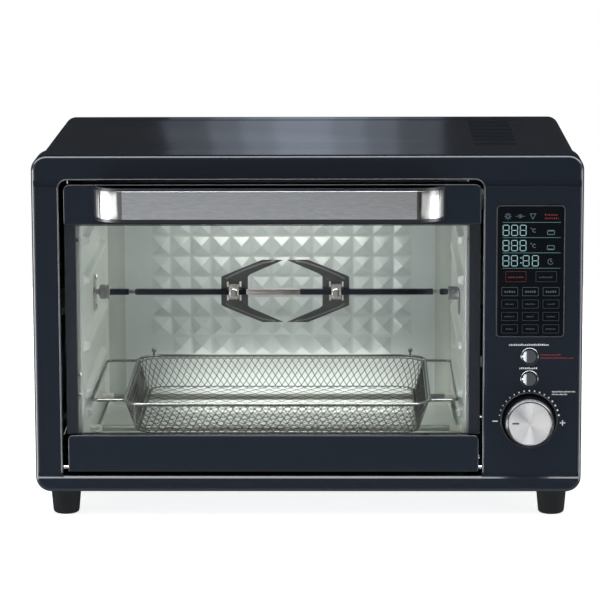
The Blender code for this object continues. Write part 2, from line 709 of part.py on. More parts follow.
def drive_socket():
    """A cup with a square mouth on the motor's output shaft."""
    profile = [
        (0, 0.0172),
        (SOCKET_RADIUS, 0.0172),
        (SOCKET_RADIUS, 0.0068),
        (0.0050, 0.0060),
        (0.0030, 0.0055),
        (0.0030, -0.0018),
        (0, -0.0018),
    ]
    socket = turned("drive_socket", profile, (CAVITY_LEFT, at(SPIT_DEPTH), SPIT_Z), "X", 24)
    half = SPIT_SIDE / 2 + GAP
    cut(socket, box("socket_mouth", (CAVITY_LEFT + 0.0090, at(SPIT_DEPTH) - half, SPIT_Z - half),
                    (CAVITY_LEFT + 0.0200, at(SPIT_DEPTH) + half, SPIT_Z + half)))
    return finish(socket, DARK_STEEL)


def spit_rod():
    """A square rod with a turned neck near each end and a round tip at the right."""
    half = SPIT_SIDE / 2
    left = CAVITY_LEFT + 0.0094
    y, z = at(SPIT_DEPTH), SPIT_Z
    rod = boxes("spit_rod", [
        ((left, y - half, z - half), (-0.1886, y + half, z + half)),
        ((-0.1817, y - half, z - half), (0.1285, y + half, z + half)),
        ((0.1359, y - half, z - half), (0.1432, y + half, z + half)),
    ])
    weld_on(rod, cylinder("left_neck", (-0.1896, y, z), "X", 0.0021, 0.0089, 12))
    weld_on(rod, cylinder("right_neck", (0.1275, y, z), "X", 0.0021, 0.0094, 12))
    weld_on(rod, cylinder("rod_tip", (0.1422, y, z), "X", 0.0029, 0.0090, 16, 0.0020))
    return finish(rod, DARK_STEEL)


def fork(name, base_x, towards):
    """A stamped fork: a plate behind the rod, a strap over it and two tapering prongs."""
    y, z = at(SPIT_DEPTH), SPIT_Z
    half = [(0, 0.0150), (0.003, 0.0165), (0.043, 0.0330), (0.0650, 0.0328), (0.0310, 0.0180), (0.0280, 0.0155)]
    upper = [(base_x + towards * u, z + v) for u, v in half]
    lower = [(base_x + towards * u, z - v) for u, v in reversed(half)]
    back = y + SPIT_SIDE / 2 + GAP
    blank = plate(name, upper + lower, "XZ", back, back + FORK_SHEET)
    strap_x = base_x + towards * 0.0135
    front = y - SPIT_SIDE / 2 - GAP
    strap = box(name + "_strap", (strap_x - 0.005, front - FORK_SHEET, z - 0.0075),
                (strap_x + 0.005, back + FORK_SHEET / 2, z + 0.0075))
    weld_on(blank, strap)
    room = SPIT_SIDE / 2 + GAP
    cut(blank, box(name + "_channel", (base_x - 0.04, front, z - room), (base_x + 0.04, back, z + room)))
    slots = []
    for side in (-1, 1):
        x = strap_x + side * 0.0065
        for low in (-0.0100, 0.0042):
            slots.append(((x - 0.0009, back - 0.001, z + low), (x + 0.0009, back + 0.003, z + low + 0.0058)))
    cut(blank, boxes(name + "_slots", slots))
    cut(blank, cylinder(name + "_screw_hole", (strap_x, front - 0.004, z), "Y", 0.0024, 0.0055, 12))
    return finish(blank, STAINLESS)


def fork_screw(name, base_x, towards):
    profile = [
        (0, 0.0090),
        (0.0040, 0.0090),
        (0.0050, 0.0080),
        (0.0050, 0.0030),
        (0.0042, 0.0020),
        (0.0020, 0.0020),
        (0.0020, GAP),
        (0, GAP),
    ]
    place = (base_x + towards * 0.0135, at(SPIT_DEPTH) - SPIT_SIDE / 2, SPIT_Z)
    return finish(turned(name, profile, place, "-Y", 16), CHROME)


def spit_support():
    """A bracket on the right wall with an open cradle for the rod's round tip."""
    y, z = at(SPIT_DEPTH), SPIT_Z
    wall = CAVITY_RIGHT - GAP
    bracket = boxes("spit_support", [((wall - 0.0015, y - 0.014, z - 0.022), (wall, y + 0.014, z + 0.002))])
    cradle = box("cradle", (0.1445, y - 0.0065, z - 0.0075), (wall - 0.0010, y + 0.0065, z + 0.0045))
    weld_on(bracket, cradle)
    cut(bracket, cylinder("cradle_seat", (0.140, y, z), "X", 0.0035, 0.0135, 16))
    cut(bracket, box("cradle_mouth", (0.140, y - 0.0035, z), (0.1535, y + 0.0035, z + 0.01)))
    return finish(bracket, STAINLESS)


# ---------------------------------------------------------------- convection

def fan_housing():
    """A shallow dish outside the right wall, open toward the cavity."""
    start = LINER + GAP
    profile = [
        (0.0042, 0.0190),
        (0.0400, 0.0190),
        (0.0400, start + 0.0010),
        (0.0480, start + 0.0010),
        (0.0480, start),
        (0.0392, start),
        (0.0392, 0.0182),
        (0.0042, 0.0182),
    ]
    return finish(turned("fan_housing", profile, (CAVITY_RIGHT, at(FAN_DEPTH), FAN_Z), "X", 32), GALVANISED)


def convection_fan():
    """A back disc with eight straight blades, a hub and the motor's shaft."""
    y, z = at(FAN_DEPTH), FAN_Z
    disc = cylinder("convection_fan", (CAVITY_RIGHT + 0.0135, y, z), "X", 0.032, 0.0010, 24)
    bm = bmesh.new()
    blade_count = 8
    for i in range(blade_count):
        turn = Matrix.Rotation(2 * math.pi * i / blade_count, 4, "X")
        blade = add_box(bm, (-0.0095, -0.0005, 0.012), (0.0004, 0.0005, 0.031))
        bmesh.ops.transform(bm, matrix=turn, verts=blade)
    blades = mesh_object("fan_blades", bm)
    blades.location = (CAVITY_RIGHT + 0.0135, y, z)
    weld_on(disc, blades)
    weld_on(disc, cylinder("fan_hub", (CAVITY_RIGHT + 0.0070, y, z), "X", 0.0060, 0.0070, 16))
    weld_on(disc, cylinder("fan_shaft", (CAVITY_RIGHT + 0.0140, y, z), "X", 0.0025, 0.0080, 12))
    return finish(disc, ALUMINIUM)


def fan_motor():
    y, z = at(FAN_DEPTH), FAN_Z
    motor = box("fan_motor", (CAVITY_RIGHT + 0.0225, y - 0.030, z - 0.022),
                (CAVITY_RIGHT + 0.0400, y + 0.030, z + 0.022))
    weld_on(motor, cylinder("fan_motor_cap", (CAVITY_RIGHT + 0.0390, y, z), "X", 0.012, 0.0080, 20))
    return finish(motor, MOTOR_STEEL)


# ---------------------------------------------------------------- basket

def basket_ring(height, inset, corner):
    outline = rounded_outline(BASKET_LEFT + inset, BASKET_RIGHT - inset, at(BASKET_FRONT + inset),
                              at(BASKET_BACK - inset), corner, corner, 4)
    return [(x, y, height) for x, y in outline]


def mesh_basket():
    """The basket's tapered wall and floor, open at the top."""
    wall = 0.0012
    lip = BASKET_TOP - RIM_WIRE - GAP
    outer = loft("mesh_basket", [
        basket_ring(lip, 0.0006, BASKET_CORNER),
        basket_ring(BASKET_BOTTOM + 0.006, BASKET_DRAFT - 0.002, BASKET_CORNER - 0.002),
        basket_ring(BASKET_BOTTOM, BASKET_DRAFT + 0.004, BASKET_CORNER - 0.006),
    ])
    inner = loft("basket_hollow", [
        basket_ring(lip + 0.004, 0.0006 + wall, BASKET_CORNER),
        basket_ring(BASKET_BOTTOM + 0.006, BASKET_DRAFT - 0.002 + wall, BASKET_CORNER - 0.002),
        basket_ring(BASKET_BOTTOM + wall, BASKET_DRAFT + 0.004 + wall, BASKET_CORNER - 0.006),
    ])
    return finish(cut(outer, inner), CHROME)


def wing_path(side):
    """Centre line of the side loop that rides on the rack guides."""
    reach = CAVITY_LEFT + 0.0060 if side < 0 else CAVITY_RIGHT - 0.0060
    root = BASKET_LEFT if side < 0 else BASKET_RIGHT
    bend = 0.006
    front, back = at(WING_FRONT), at(WING_BACK)
    inside = reach - side * bend
    start_turn, end_turn = (270, 180) if side < 0 else (-90, 0)
    front_bend = arc((inside, front + bend), bend, start_turn, end_turn, 3)
    rear_bend = arc((inside, back - bend), bend, end_turn, 90, 3)
    path = [(root, front)] + front_bend + rear_bend + [(root, back)]
    return [(x, y, WING_Z) for x, y in path]


def basket_frame():
    """Rim wire, two side loops and two round stops, welded together."""
    ring = basket_ring(BASKET_TOP, 0, BASKET_CORNER)
    frame = wire("basket_frame", ring, RIM_WIRE, cyclic=True)
    weld_on(frame, wire("wing_left", wing_path(-1), WING_WIRE))
    weld_on(frame, wire("wing_right", wing_path(1), WING_WIRE))
    bm = bmesh.new()
    for x in (BASKET_LEFT + 0.0155, BASKET_RIGHT - 0.0155):
        place = (x, at(BASKET_BACK - 0.0025), BASKET_TOP + 0.0065)
        bmesh.ops.create_uvsphere(bm, u_segments=12, v_segments=8, radius=0.0027, matrix=Matrix.Translation(place))
    stops = mesh_object("rim_stops", bm)
    stems = [(x, at(BASKET_BACK - 0.0025), BASKET_TOP) for x in (BASKET_LEFT + 0.0155, BASKET_RIGHT - 0.0155)]
    weld_on(frame, rods("stop_stems", stems, "Z", 0.0011, 0.0060, 8))
    weld_on(frame, stops)
    return finish(frame, CHROME)


# ---------------------------------------------------------------- door

def door_glass():
    outline = rounded_outline(DOOR_LEFT, DOOR_RIGHT, BOTTOM_RAIL_TOP + GAP, TOP_RAIL_BOTTOM - GAP, 0.001, 0.001, 2)
    return finish(plate("door_glass", outline, "XZ", at(GLASS_FRONT), at(GLASS_BACK)), GLASS)


def door_top_rail():
    outline = rounded_outline(DOOR_LEFT, DOOR_RIGHT, TOP_RAIL_BOTTOM, DOOR_TOP, 0.004, 0.006, 3)
    rail = plate("door_top_rail", outline, "XZ", at(DOOR_FRONT), at(DOOR_BACK))
    return finish(rounded(rail, 0.0008, 2, 60), NAVY)


def door_bottom_rail():
    outline = rounded_outline(RAIL_LEFT, RAIL_RIGHT, DOOR_BOTTOM, BOTTOM_RAIL_TOP, 0.002, 0.004, 3)
    rail = plate("door_bottom_rail", outline, "XZ", at(DOOR_FRONT), at(DOOR_BACK))
    rounded(rail, 0.0008, 2, 60)
    starts = [(x, at(HINGE_DEPTH), HINGE_Z) for x in (RAIL_LEFT - 0.004, RAIL_RIGHT - 0.007)]
    bores = rods("hinge_bores", starts, "X", HINGE_PIN_RADIUS + GAP, 0.011, 16)
    return finish(cut(rail, bores), NAVY)


def door_stile(name, low_x):
    return finish(box(name, (low_x, at(GLASS_BACK + GAP), BOTTOM_RAIL_TOP + GAP),
                      (low_x + STILE_WIDTH, at(DOOR_BACK), TOP_RAIL_BOTTOM - GAP)), BLACK)


def handle_outline(outer, thickness):
    """Plan outline of a strip that leaves the rail, bends round and runs along the front."""
    near = at(DOOR_FRONT - GAP)
    front = at(-HANDLE_REACH) + outer
    left, right = HANDLE_LEFT + outer, HANDLE_RIGHT - outer
    bend = HANDLE_BEND - outer
    outside = ([(left, near)] + arc((left + bend, front + bend), bend, 180, 270, 8)
               + arc((right - bend, front + bend), bend, 270, 360, 8) + [(right, near)])
    bend_in = bend - thickness
    inside = ([(right - thickness, near)] + arc((right - bend, front + bend), bend_in, 360, 270, 8)
              + arc((left + bend, front + bend), bend_in, 270, 180, 8) + [(left + thickness, near)])
    return outside + inside


def handle_bar():
    outline = handle_outline(0, HANDLE_SHEET)
    bar = plate("handle_bar", outline, "XY", HANDLE_Z - HANDLE_HEIGHT / 2, HANDLE_Z + HANDLE_HEIGHT / 2)
    return finish(rounded(bar, 0.0004, 1, 60), STAINLESS)


def handle_backing():
    outline = handle_outline(HANDLE_SHEET + GAP, HANDLE_BACKING)
    low, high = HANDLE_Z - HANDLE_HEIGHT / 2 - 0.0036, HANDLE_Z + HANDLE_HEIGHT / 2 + 0.0024
    return finish(rounded(plate("handle_backing", outline, "XY", low, high), 0.0008, 1, 60), BLACK)


def hinge_arm(name, low_x):
    """A curved arm round the hinge axis, with a tab that fixes it to the bottom rail."""
    centre = (at(HINGE_DEPTH), HINGE_Z)
    outline = arc(centre, ARM_INNER, 74, -8, 9) + arc(centre, ARM_OUTER, -8, 74, 9)
    arm = plate(name, outline, "YZ", low_x, low_x + 0.0015)
    tab = box(name + "_tab", (low_x, at(DOOR_BACK + GAP), 0.058), (low_x + 0.0015, at(DOOR_BACK + 0.0035), 0.0845))
    weld_on(arm, tab)
    return finish(arm, MOTOR_STEEL)


def hinge_pin(name, x, axis):
    """A shouldered pin fixed in the fascia's lip, its shank in the bottom rail's bore."""
    profile = [
        (0, 0.0096),
        (HINGE_PIN_RADIUS - 0.0003, 0.0096),
        (HINGE_PIN_RADIUS, 0.0090),
        (HINGE_PIN_RADIUS, 0.0026),
        (0.0030, 0.0026),
        (0.0030, GAP),
        (0, GAP),
    ]
    return finish(turned(name, profile, (x, at(HINGE_DEPTH), HINGE_Z), axis, 16), CHROME)


def door_spring(name, x):
    """A closing spring: an open helix between the casing and the hinge arm."""
    turns, per_turn, radius = 9, 8, 0.0028
    low, high = 0.050, 0.128
    steps = turns * per_turn
    path = []
    for i in range(steps + 1):
        angle = 2 * math.pi * i / per_turn
        path.append((x + radius * math.cos(angle), at(0.0480) + radius * math.sin(angle),
                     low + (high - low) * i / steps))
    return finish(wire(name, path, 0.0006, resolution=0), MOTOR_STEEL)


# ---------------------------------------------------------------- controls

def display_window():
    outline = rounded_outline(DISPLAY_LEFT, DISPLAY_RIGHT, DISPLAY_BOTTOM, DISPLAY_TOP, 0.004, 0.004, 4)
    window = plate("display_window", outline, "XZ", at(-0.0008), at(0.0050))
    return finish(rounded(window, 0.0004, 1, 60), BLACK)


def control_board():
    return finish(box("control_board", (0.184, at(0.0130), 0.130), (0.262, at(0.0146), 0.322)), BOARD_GREEN)


def power_board():
    """A board on the base with its relays and capacitors."""
    board = box("power_board", (0.175, at(0.075), 0.0420), (0.255, at(0.215), 0.0436))
    blocks = boxes("board_blocks", [
        ((0.182, at(0.085), 0.0430), (0.198, at(0.105), 0.0600)),
        ((0.205, at(0.085), 0.0430), (0.221, at(0.105), 0.0600)),
        ((0.228, at(0.085), 0.0430), (0.244, at(0.105), 0.0600)),
        ((0.185, at(0.150), 0.0430), (0.215, at(0.180), 0.0680)),
    ])
    return finish(weld_on(board, blocks), BOARD_GREEN)


def push_button(name, z):
    profile = [
        (0, 0.0030),
        (0.0040, 0.0028),
        (0.0062, 0.0021),
        (BUTTON_RADIUS, 0.0010),
        (BUTTON_RADIUS, -0.0050),
        (0.0030, -0.0050),
        (0.0030, -0.0112),
        (0, -0.0112),
    ]
    return finish(turned(name, profile, (CONTROL_X, at(0), z), "-Y", 24), CHROME)


def button_ring(name, z):
    profile = [
        (RING_INNER, 0.0012),
        (RING_OUTER - 0.0005, 0.0012),
        (RING_OUTER, 0.0006),
        (RING_OUTER, -0.0028),
        (RING_INNER, -0.0028),
    ]
    return finish(turned(name, profile, (CONTROL_X, at(0), z), "-Y", 28), CHROME)


def selector_knob():
    """The knob's skirt: a turned cup with a pocket for the face and a bore for the shaft."""
    profile = [
        (0, KNOB_REACH - 0.0010),
        (KNOB_FACE, KNOB_REACH - 0.0010),
        (KNOB_FACE, KNOB_REACH),
        (KNOB_FACE + 0.0008, KNOB_REACH),
        (KNOB_RADIUS, KNOB_REACH - 0.0030),
        (KNOB_RADIUS, GAP),
        (KNOB_RADIUS - 0.002, GAP),
        (KNOB_RADIUS - 0.002, KNOB_REACH - 0.0050),
        (0.0070, KNOB_REACH - 0.0050),
        (0.0070, GAP),
        (0.0033, GAP),
        (0.0033, KNOB_REACH - 0.0050),
        (0, KNOB_REACH - 0.0050),
    ]
    return finish(turned("selector_knob", profile, (CONTROL_X, at(0), KNOB_Z), "-Y", 40), BLACK)


def knob_cap():
    profile = [
        (0, KNOB_REACH + 0.0002),
        (KNOB_FACE - 0.0008, KNOB_REACH + 0.0002),
        (KNOB_FACE - GAP, KNOB_REACH - 0.0002),
        (KNOB_FACE - GAP, KNOB_REACH - 0.0010 + GAP),
        (0, KNOB_REACH - 0.0010 + GAP),
    ]
    return finish(turned("knob_cap", profile, (CONTROL_X, at(0), KNOB_Z), "-Y", 40), ALUMINIUM)


def encoder_shaft():
    start = at(-KNOB_REACH + 0.0050 + GAP)
    return finish(cylinder("encoder_shaft", (CONTROL_X, start, KNOB_Z), "Y", 0.0030, at(0.0150) - start, 16), MOTOR_STEEL)


def encoder_body():
    """Push-and-turn encoder: a block with a bush through the fascia."""
    x, z = CONTROL_X, KNOB_Z
    body = box("encoder_body", (x - 0.0065, at(0.0135), z - 0.0065), (x + 0.0065, at(0.0205), z + 0.0065))
    weld_on(body, cylinder("encoder_bush", (x, at(0.0034), z), "Y", 0.0060, 0.0110, 16))
    cut(body, cylinder("encoder_bore", (x, at(0.0), z), "Y", 0.0033, 0.0172, 16))
    return finish(body, MOTOR_STEEL)


# ---------------------------------------------------------------- assembly

front_frame()
outer_cabinet()
rear_cover()
base_plate()
for side_name, side_x in (("left", -FOOT_X), ("right", FOOT_X)):
    foot("foot_front_" + side_name, side_x, FOOT_FRONT_DEPTH)
    foot("foot_rear_" + side_name, side_x, FOOT_BACK_DEPTH)
cord_gland()

cavity_left_wall()
cavity_right_wall()
cavity_roof()
cavity_floor()
cavity_back()
tray = crumb_tray()
for heater_name in HEATER_PLACES:
    heater(heater_name)
lamp_lens()
lamp_holder()
temperature_probe()

rotisserie_motor()
socket_flange()
spit_pieces = [
    drive_socket(),
    spit_rod(),
    fork("fork_left", FORK_LEFT_X, 1),
    fork("fork_right", FORK_RIGHT_X, -1),
    fork_screw("fork_screw_left", FORK_LEFT_X, 1),
    fork_screw("fork_screw_right", FORK_RIGHT_X, -1),
]
spit_support()

fan_housing()
fan = convection_fan()
fan_motor()

basket_pieces = [mesh_basket(), basket_frame()]

door_pieces = [
    door_glass(),
    door_top_rail(),
    door_bottom_rail(),
    door_stile("door_stile_left", DOOR_LEFT),
    door_stile("door_stile_right", DOOR_RIGHT - STILE_WIDTH),
    handle_bar(),
    handle_backing(),
    hinge_arm("hinge_arm_left", DOOR_LEFT + 0.0040),
    hinge_arm("hinge_arm_right", DOOR_RIGHT - 0.0055),
]
hinge_pin("hinge_pin_left", OPEN_LEFT, "X")
hinge_pin("hinge_pin_right", OPEN_RIGHT, "-X")
door_spring("door_spring_left", DOOR_LEFT - 0.0015)
door_spring("door_spring_right", DOOR_RIGHT + 0.0015)

display_window()
control_board()
power_board()
convection = push_button("convection_button", CONVECTION_Z)
start = push_button("start_button", START_Z)
button_ring("button_ring_upper", CONVECTION_Z)
button_ring("button_ring_lower", START_Z)
knob_pieces = [selector_knob(), knob_cap()]
stem = encoder_shaft()
encoder_body()

axis_empty("door_axis", (CAVITY_CENTRE, at(HINGE_DEPTH), HINGE_Z), door_pieces)
axis_empty("spit_axis", (CAVITY_CENTRE, at(SPIT_DEPTH), SPIT_Z), spit_pieces)
axis_empty("fan_axis", (CAVITY_RIGHT, at(FAN_DEPTH), FAN_Z), [fan])
axis_empty("basket_slide_axis", (CAVITY_CENTRE, at(BASKET_FRONT), WING_Z), basket_pieces)
axis_empty("tray_slide_axis", (CAVITY_CENTRE, at(0.025), CAVITY_FLOOR), [tray])
axis_empty("convection_axis", (CONTROL_X, at(0), CONVECTION_Z), [convection])
axis_empty("start_axis", (CONTROL_X, at(0), START_Z), [start])
axis_empty("knob_axis", (CONTROL_X, at(0), KNOB_Z), knob_pieces + [stem])
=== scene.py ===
"""Looks of the toaster oven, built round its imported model. Metres, +Z up, the door faces -Y."""

import contextlib
import math
import random

import bmesh
import bpy
from mathutils import Matrix, Vector


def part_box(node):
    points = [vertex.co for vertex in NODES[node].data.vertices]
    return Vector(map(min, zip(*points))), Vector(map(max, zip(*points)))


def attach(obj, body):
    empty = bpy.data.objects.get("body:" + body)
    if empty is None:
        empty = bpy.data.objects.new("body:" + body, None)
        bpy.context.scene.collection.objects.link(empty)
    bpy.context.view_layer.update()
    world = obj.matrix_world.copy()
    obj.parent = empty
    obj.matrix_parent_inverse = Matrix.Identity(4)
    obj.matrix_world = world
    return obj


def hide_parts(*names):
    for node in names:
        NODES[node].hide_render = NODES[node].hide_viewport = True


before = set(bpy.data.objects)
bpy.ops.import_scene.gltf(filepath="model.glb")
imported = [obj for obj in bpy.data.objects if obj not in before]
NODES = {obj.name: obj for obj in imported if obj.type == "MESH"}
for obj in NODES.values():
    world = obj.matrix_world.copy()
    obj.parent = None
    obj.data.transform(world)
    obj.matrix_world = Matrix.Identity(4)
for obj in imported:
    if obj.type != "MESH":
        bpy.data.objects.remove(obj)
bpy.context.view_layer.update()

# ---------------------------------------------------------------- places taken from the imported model

FRAME_LOW, FRAME_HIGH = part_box("front_frame")
FRONT = FRAME_LOW.y
BODY_BOTTOM, BODY_TOP = FRAME_LOW.z, FRAME_HIGH.z
HALF_WIDTH = FRAME_HIGH.x
FASCIA_DEPTH = FRAME_HIGH.y - FRONT
SHEET = 0.0008                   # thickness of the liner and the back


def at(depth):
    """Y of a depth behind the fascia's front plane."""
    return FRONT + depth


# ---------------------------------------------------------------- mesh helpers

AXIS_TURN = {
    "Z": Matrix.Identity(4),
    "X": Matrix.Rotation(math.pi / 2, 4, "Y"),
    "-X": Matrix.Rotation(-math.pi / 2, 4, "Y"),
    "Y": Matrix.Rotation(-math.pi / 2, 4, "X"),
    "-Y": Matrix.Rotation(math.pi / 2, 4, "X"),
}
PLANES = {                       # (u, v, w) of a flat outline to world
    "XY": lambda u, v, w: (u, v, w),
    "XZ": lambda u, v, w: (u, w, v),
    "YZ": lambda u, v, w: (w, u, v),
}


def object_of(name, bm):
    """Makes an object of a bmesh, with its faces turned outward, and frees the bmesh."""
    bm.normal_update()
    bmesh.ops.recalc_face_normals(bm, faces=bm.faces)
    if bm.calc_volume(signed=True) < 0:
        bmesh.ops.reverse_faces(bm, faces=bm.faces)
    mesh = bpy.data.meshes.new(name)
    bm.to_mesh(mesh)
    bm.free()
    obj = bpy.data.objects.new(name, mesh)
    bpy.context.scene.collection.objects.link(obj)
    return obj


def discard(obj):
    """Removes a helper object and its mesh."""
    mesh = obj.data
    bpy.data.objects.remove(obj)
    bpy.data.meshes.remove(mesh)


def bake(obj):
    """Puts the result of an object's modifiers into its mesh."""
    graph = bpy.context.evaluated_depsgraph_get()
    mesh = bpy.data.meshes.new_from_object(obj.evaluated_get(graph))
    obj.modifiers.clear()
    old = obj.data
    obj.data = mesh
    bpy.data.meshes.remove(old)
    return obj


def boolean(obj, other, operation="DIFFERENCE"):
    """Cuts or joins with a helper, which is used up."""
    mod = obj.modifiers.new("boolean", "BOOLEAN")
    mod.operation = operation
    mod.object = other
    mod.solver = "EXACT"
    bake(obj)
    discard(other)
    return obj


@contextlib.contextmanager
def editing(obj):
    """Opens an object's mesh as a bmesh and writes it back."""
    bm = bmesh.new()
    bm.from_mesh(obj.data)
    yield bm
    bm.to_mesh(obj.data)
    bm.free()


def thicken(obj, thickness):
    """Gives an open sheet its thickness, behind its faces."""
    mod = obj.modifiers.new("sheet", "SOLIDIFY")
    mod.thickness = thickness
    mod.offset = -1
    return bake(obj)


def soften(obj, width, segments, chosen):
    """Rounds the edges of a mesh that a test picks; the test gets the edge and its face angle."""
    with editing(obj) as bm:
        bmesh.ops.dissolve_limit(bm, angle_limit=0.002, verts=bm.verts, edges=bm.edges)
        edges = [e for e in bm.edges if len(e.link_faces) == 2 and chosen(e, e.calc_face_angle(0))]
        bmesh.ops.bevel(bm, geom=edges, offset=width, segments=segments, profile=0.5,
                        affect="EDGES", clamp_overlap=True, miter_outer="ARC")
    return obj


def corners_of(edge):
    """The two ends of an edge."""
    return [v.co for v in edge.verts]


def sharp(edge, angle):
    """An edge test: a real corner, not a step of a round."""
    return angle > math.radians(38)


def on_plane(axis, value, reach=0.00002):
    """An edge test: sharp, with both ends on a plane."""
    def test(edge, angle):
        return sharp(edge, angle) and all(abs(c[axis] - value) < reach for c in corners_of(edge))
    return test


def prism(name, outline, plane, low, high, holes=()):
    """A flat outline with holes, as thick as low to high along the plane's normal."""
    data = bpy.data.curves.new(name, "CURVE")
    data.dimensions = "2D"
    data.fill_mode = "BOTH"
    data.extrude = (high - low) / 2
    for loop in (outline, *holes):
        spline = data.splines.new("POLY")
        spline.points.add(len(loop) - 1)
        for place, point in zip(spline.points, loop):
            place.co = (*point, 0, 1)
        spline.use_cyclic_u = True
    curve = bpy.data.objects.new(name, data)
    bpy.context.scene.collection.objects.link(curve)
    graph = bpy.context.evaluated_depsgraph_get()
    mesh = bpy.data.meshes.new_from_object(curve.evaluated_get(graph))
    bpy.data.objects.remove(curve)
    bpy.data.curves.remove(data)
    middle = (low + high) / 2
    bm = bmesh.new()
    bm.from_mesh(mesh)
    bpy.data.meshes.remove(mesh)
    bmesh.ops.remove_doubles(bm, verts=bm.verts, dist=0.000005)
    bmesh.ops.dissolve_limit(bm, angle_limit=0.001, verts=bm.verts, edges=bm.edges)
    for vert in bm.verts:
        vert.co = PLANES[plane](vert.co.x, vert.co.y, vert.co.z + middle)
    return object_of(name, bm)


def add_box(bm, low, high):
    """Adds a box and gives back its vertices."""
    low, high = Vector(low), Vector(high)
    size = Matrix.Diagonal((*(high - low), 1))
    return bmesh.ops.create_cube(bm, size=1, matrix=Matrix.Translation((low + high) / 2) @ size)["verts"]


def boxes(name, spans):
    """One object of several boxes."""
    bm = bmesh.new()
    for low, high in spans:
        add_box(bm, low, high)
    return object_of(name, bm)


def arc(centre, radius, start, end, steps):
    """Points along an arc, in degrees, both ends included."""
    angles = [math.radians(start + (end - start) * i / steps) for i in range(steps + 1)]
    return [(centre[0] + radius * math.cos(a), centre[1] + radius * math.sin(a)) for a in angles]


def rounded_outline(left, right, bottom, top, low_radius, high_radius, steps=8):
    """A rectangle with one radius for its lower corners and one for its upper."""
    return (arc((right - low_radius, bottom + low_radius), low_radius, -90, 0, steps)
            + arc((right - high_radius, top - high_radius), high_radius, 0, 90, steps)
            + arc((left + high_radius, top - high_radius), high_radius, 90, 180, steps)
            + arc((left + low_radius, bottom + low_radius), low_radius, 180, 270, steps))


def band(bm, first, second):
    """Faces between two rings of equally many vertices."""
    for i in range(len(first)):
        j = (i + 1) % len(first)
        bm.faces.new((first[i], first[j], second[j], second[i]))


def lathe(bm, profile, centre, axis, steps=48):
    """Adds a turned solid. The profile lists (radius, height); ends on the axis close it."""
    place = Matrix.Translation(centre) @ AXIS_TURN[axis]
    rings = []
    for radius, height in profile:
        if radius < 1e-7:
            rings.append([bm.verts.new(place @ Vector((0, 0, height)))])
            continue
        ring = []
        for i in range(steps):
            a = 2 * math.pi * i / steps
            ring.append(bm.verts.new(place @ Vector((radius * math.cos(a), radius * math.sin(a), height))))
        rings.append(ring)
    pairs = list(zip(rings, rings[1:]))
    if len(rings[0]) > 1:
        pairs.append((rings[-1], rings[0]))
    for first, second in pairs:
        if len(first) == len(second) == steps:
            band(bm, first, second)
            continue
        for i in range(steps):
            j = (i + 1) % steps
            if len(second) > 1:
                bm.faces.new((first[0], second[i], second[j]))
            elif len(first) > 1:
                bm.faces.new((first[i], first[j], second[0]))


def turned(name, profile, centre, axis, steps=48):
    """One turned solid as an object."""
    bm = bmesh.new()
    lathe(bm, profile, centre, axis, steps)
    return object_of(name, bm)


def plug(radius, low, high, centre, axis, steps):
    """A round helper that bores a hole, from low to high along its axis."""
    return turned("plug", [(0, high), (radius, high), (radius, low), (0, low)], centre, axis, steps)


def tube(bm, points, radius, sides=8, closed=False):
    """Adds a round wire along a path, with frames carried along so that it never twists."""
    points = [Vector(p) for p in points]
    count = len(points)
    tangents = []
    for i in range(count):
        before = points[(i - 1) % count] if closed or i else points[0]
        after = points[(i + 1) % count] if closed or i < count - 1 else points[-1]
        tangents.append((after - before).normalized())
    normal = tangents[0].orthogonal().normalized()
    rings = []
    for i in range(count):
        normal = (normal - tangents[i] * normal.dot(tangents[i])).normalized()
        side = tangents[i].cross(normal)
        if closed or 0 < i < count - 1:
            before, after = points[(i - 1) % count], points[(i + 1) % count]
            turn = (points[i] - before).angle(after - points[i], 0)
            stretch = 1 / max(0.5, math.cos(turn / 2))
            bend = ((after - points[i]).normalized() - (points[i] - before).normalized())
            bend = bend.normalized() if bend.length > 1e-6 else None
        else:
            stretch, bend = 1, None
        ring = []
        for k in range(sides):
            a = 2 * math.pi * k / sides
            offset = (normal * math.cos(a) + side * math.sin(a)) * radius
            if bend is not None:
                offset += bend * offset.dot(bend) * (stretch - 1)
            ring.append(bm.verts.new(points[i] + offset))
        rings.append(ring)
    pairs = list(zip(rings, rings[1:]))
    if closed:
        first, last = rings[0], rings[-1]
        shift = min(range(sides), key=lambda s: (last[0].co - first[s].co).length)
        pairs.append((last, first[shift:] + first[:shift]))
    for lower, upper in pairs:
        band(bm, lower, upper)
    if not closed:
        bm.faces.new(rings[0][::-1])
        bm.faces.new(rings[-1])


def ball(bm, centre, radius, segments=20, squash=1.0):
    """Adds a ball, flattened along Z by squash."""
    place = Matrix.Translation(centre) @ Matrix.Diagonal((1, 1, squash, 1))
    bmesh.ops.create_uvsphere(bm, u_segments=segments, v_segments=segments // 2, radius=radius, matrix=place)


def quarter(radius, centre_r, centre_h, start, end, steps=5):
    """Profile points of a round edge, for lathe: angles from the outward axis."""
    return [(centre_r + radius * math.cos(math.radians(start + (end - start) * i / steps)),
             centre_h + radius * math.sin(math.radians(start + (end - start) * i / steps)))
            for i in range(steps + 1)]


def show(obj, mats, body, nodes=(), angle=32, weighted=False):
    """Gives a piece its materials and shading, hangs it on its body and hides the imported parts it stands
    for.
    """
    obj.data.materials.clear()
    for mat in mats if isinstance(mats, (list, tuple)) else [mats]:
        obj.data.materials.append(mat)
    obj.data.shade_smooth()
    obj.data.set_sharp_from_angle(angle=math.radians(angle))
    if weighted:
        mod = obj.modifiers.new("flat faces stay flat", "WEIGHTED_NORMAL")
        mod.keep_sharp = True
        mod.weight = 90
    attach(obj, body)
    if nodes:
        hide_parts(*([nodes] if isinstance(nodes, str) else nodes))
    return obj


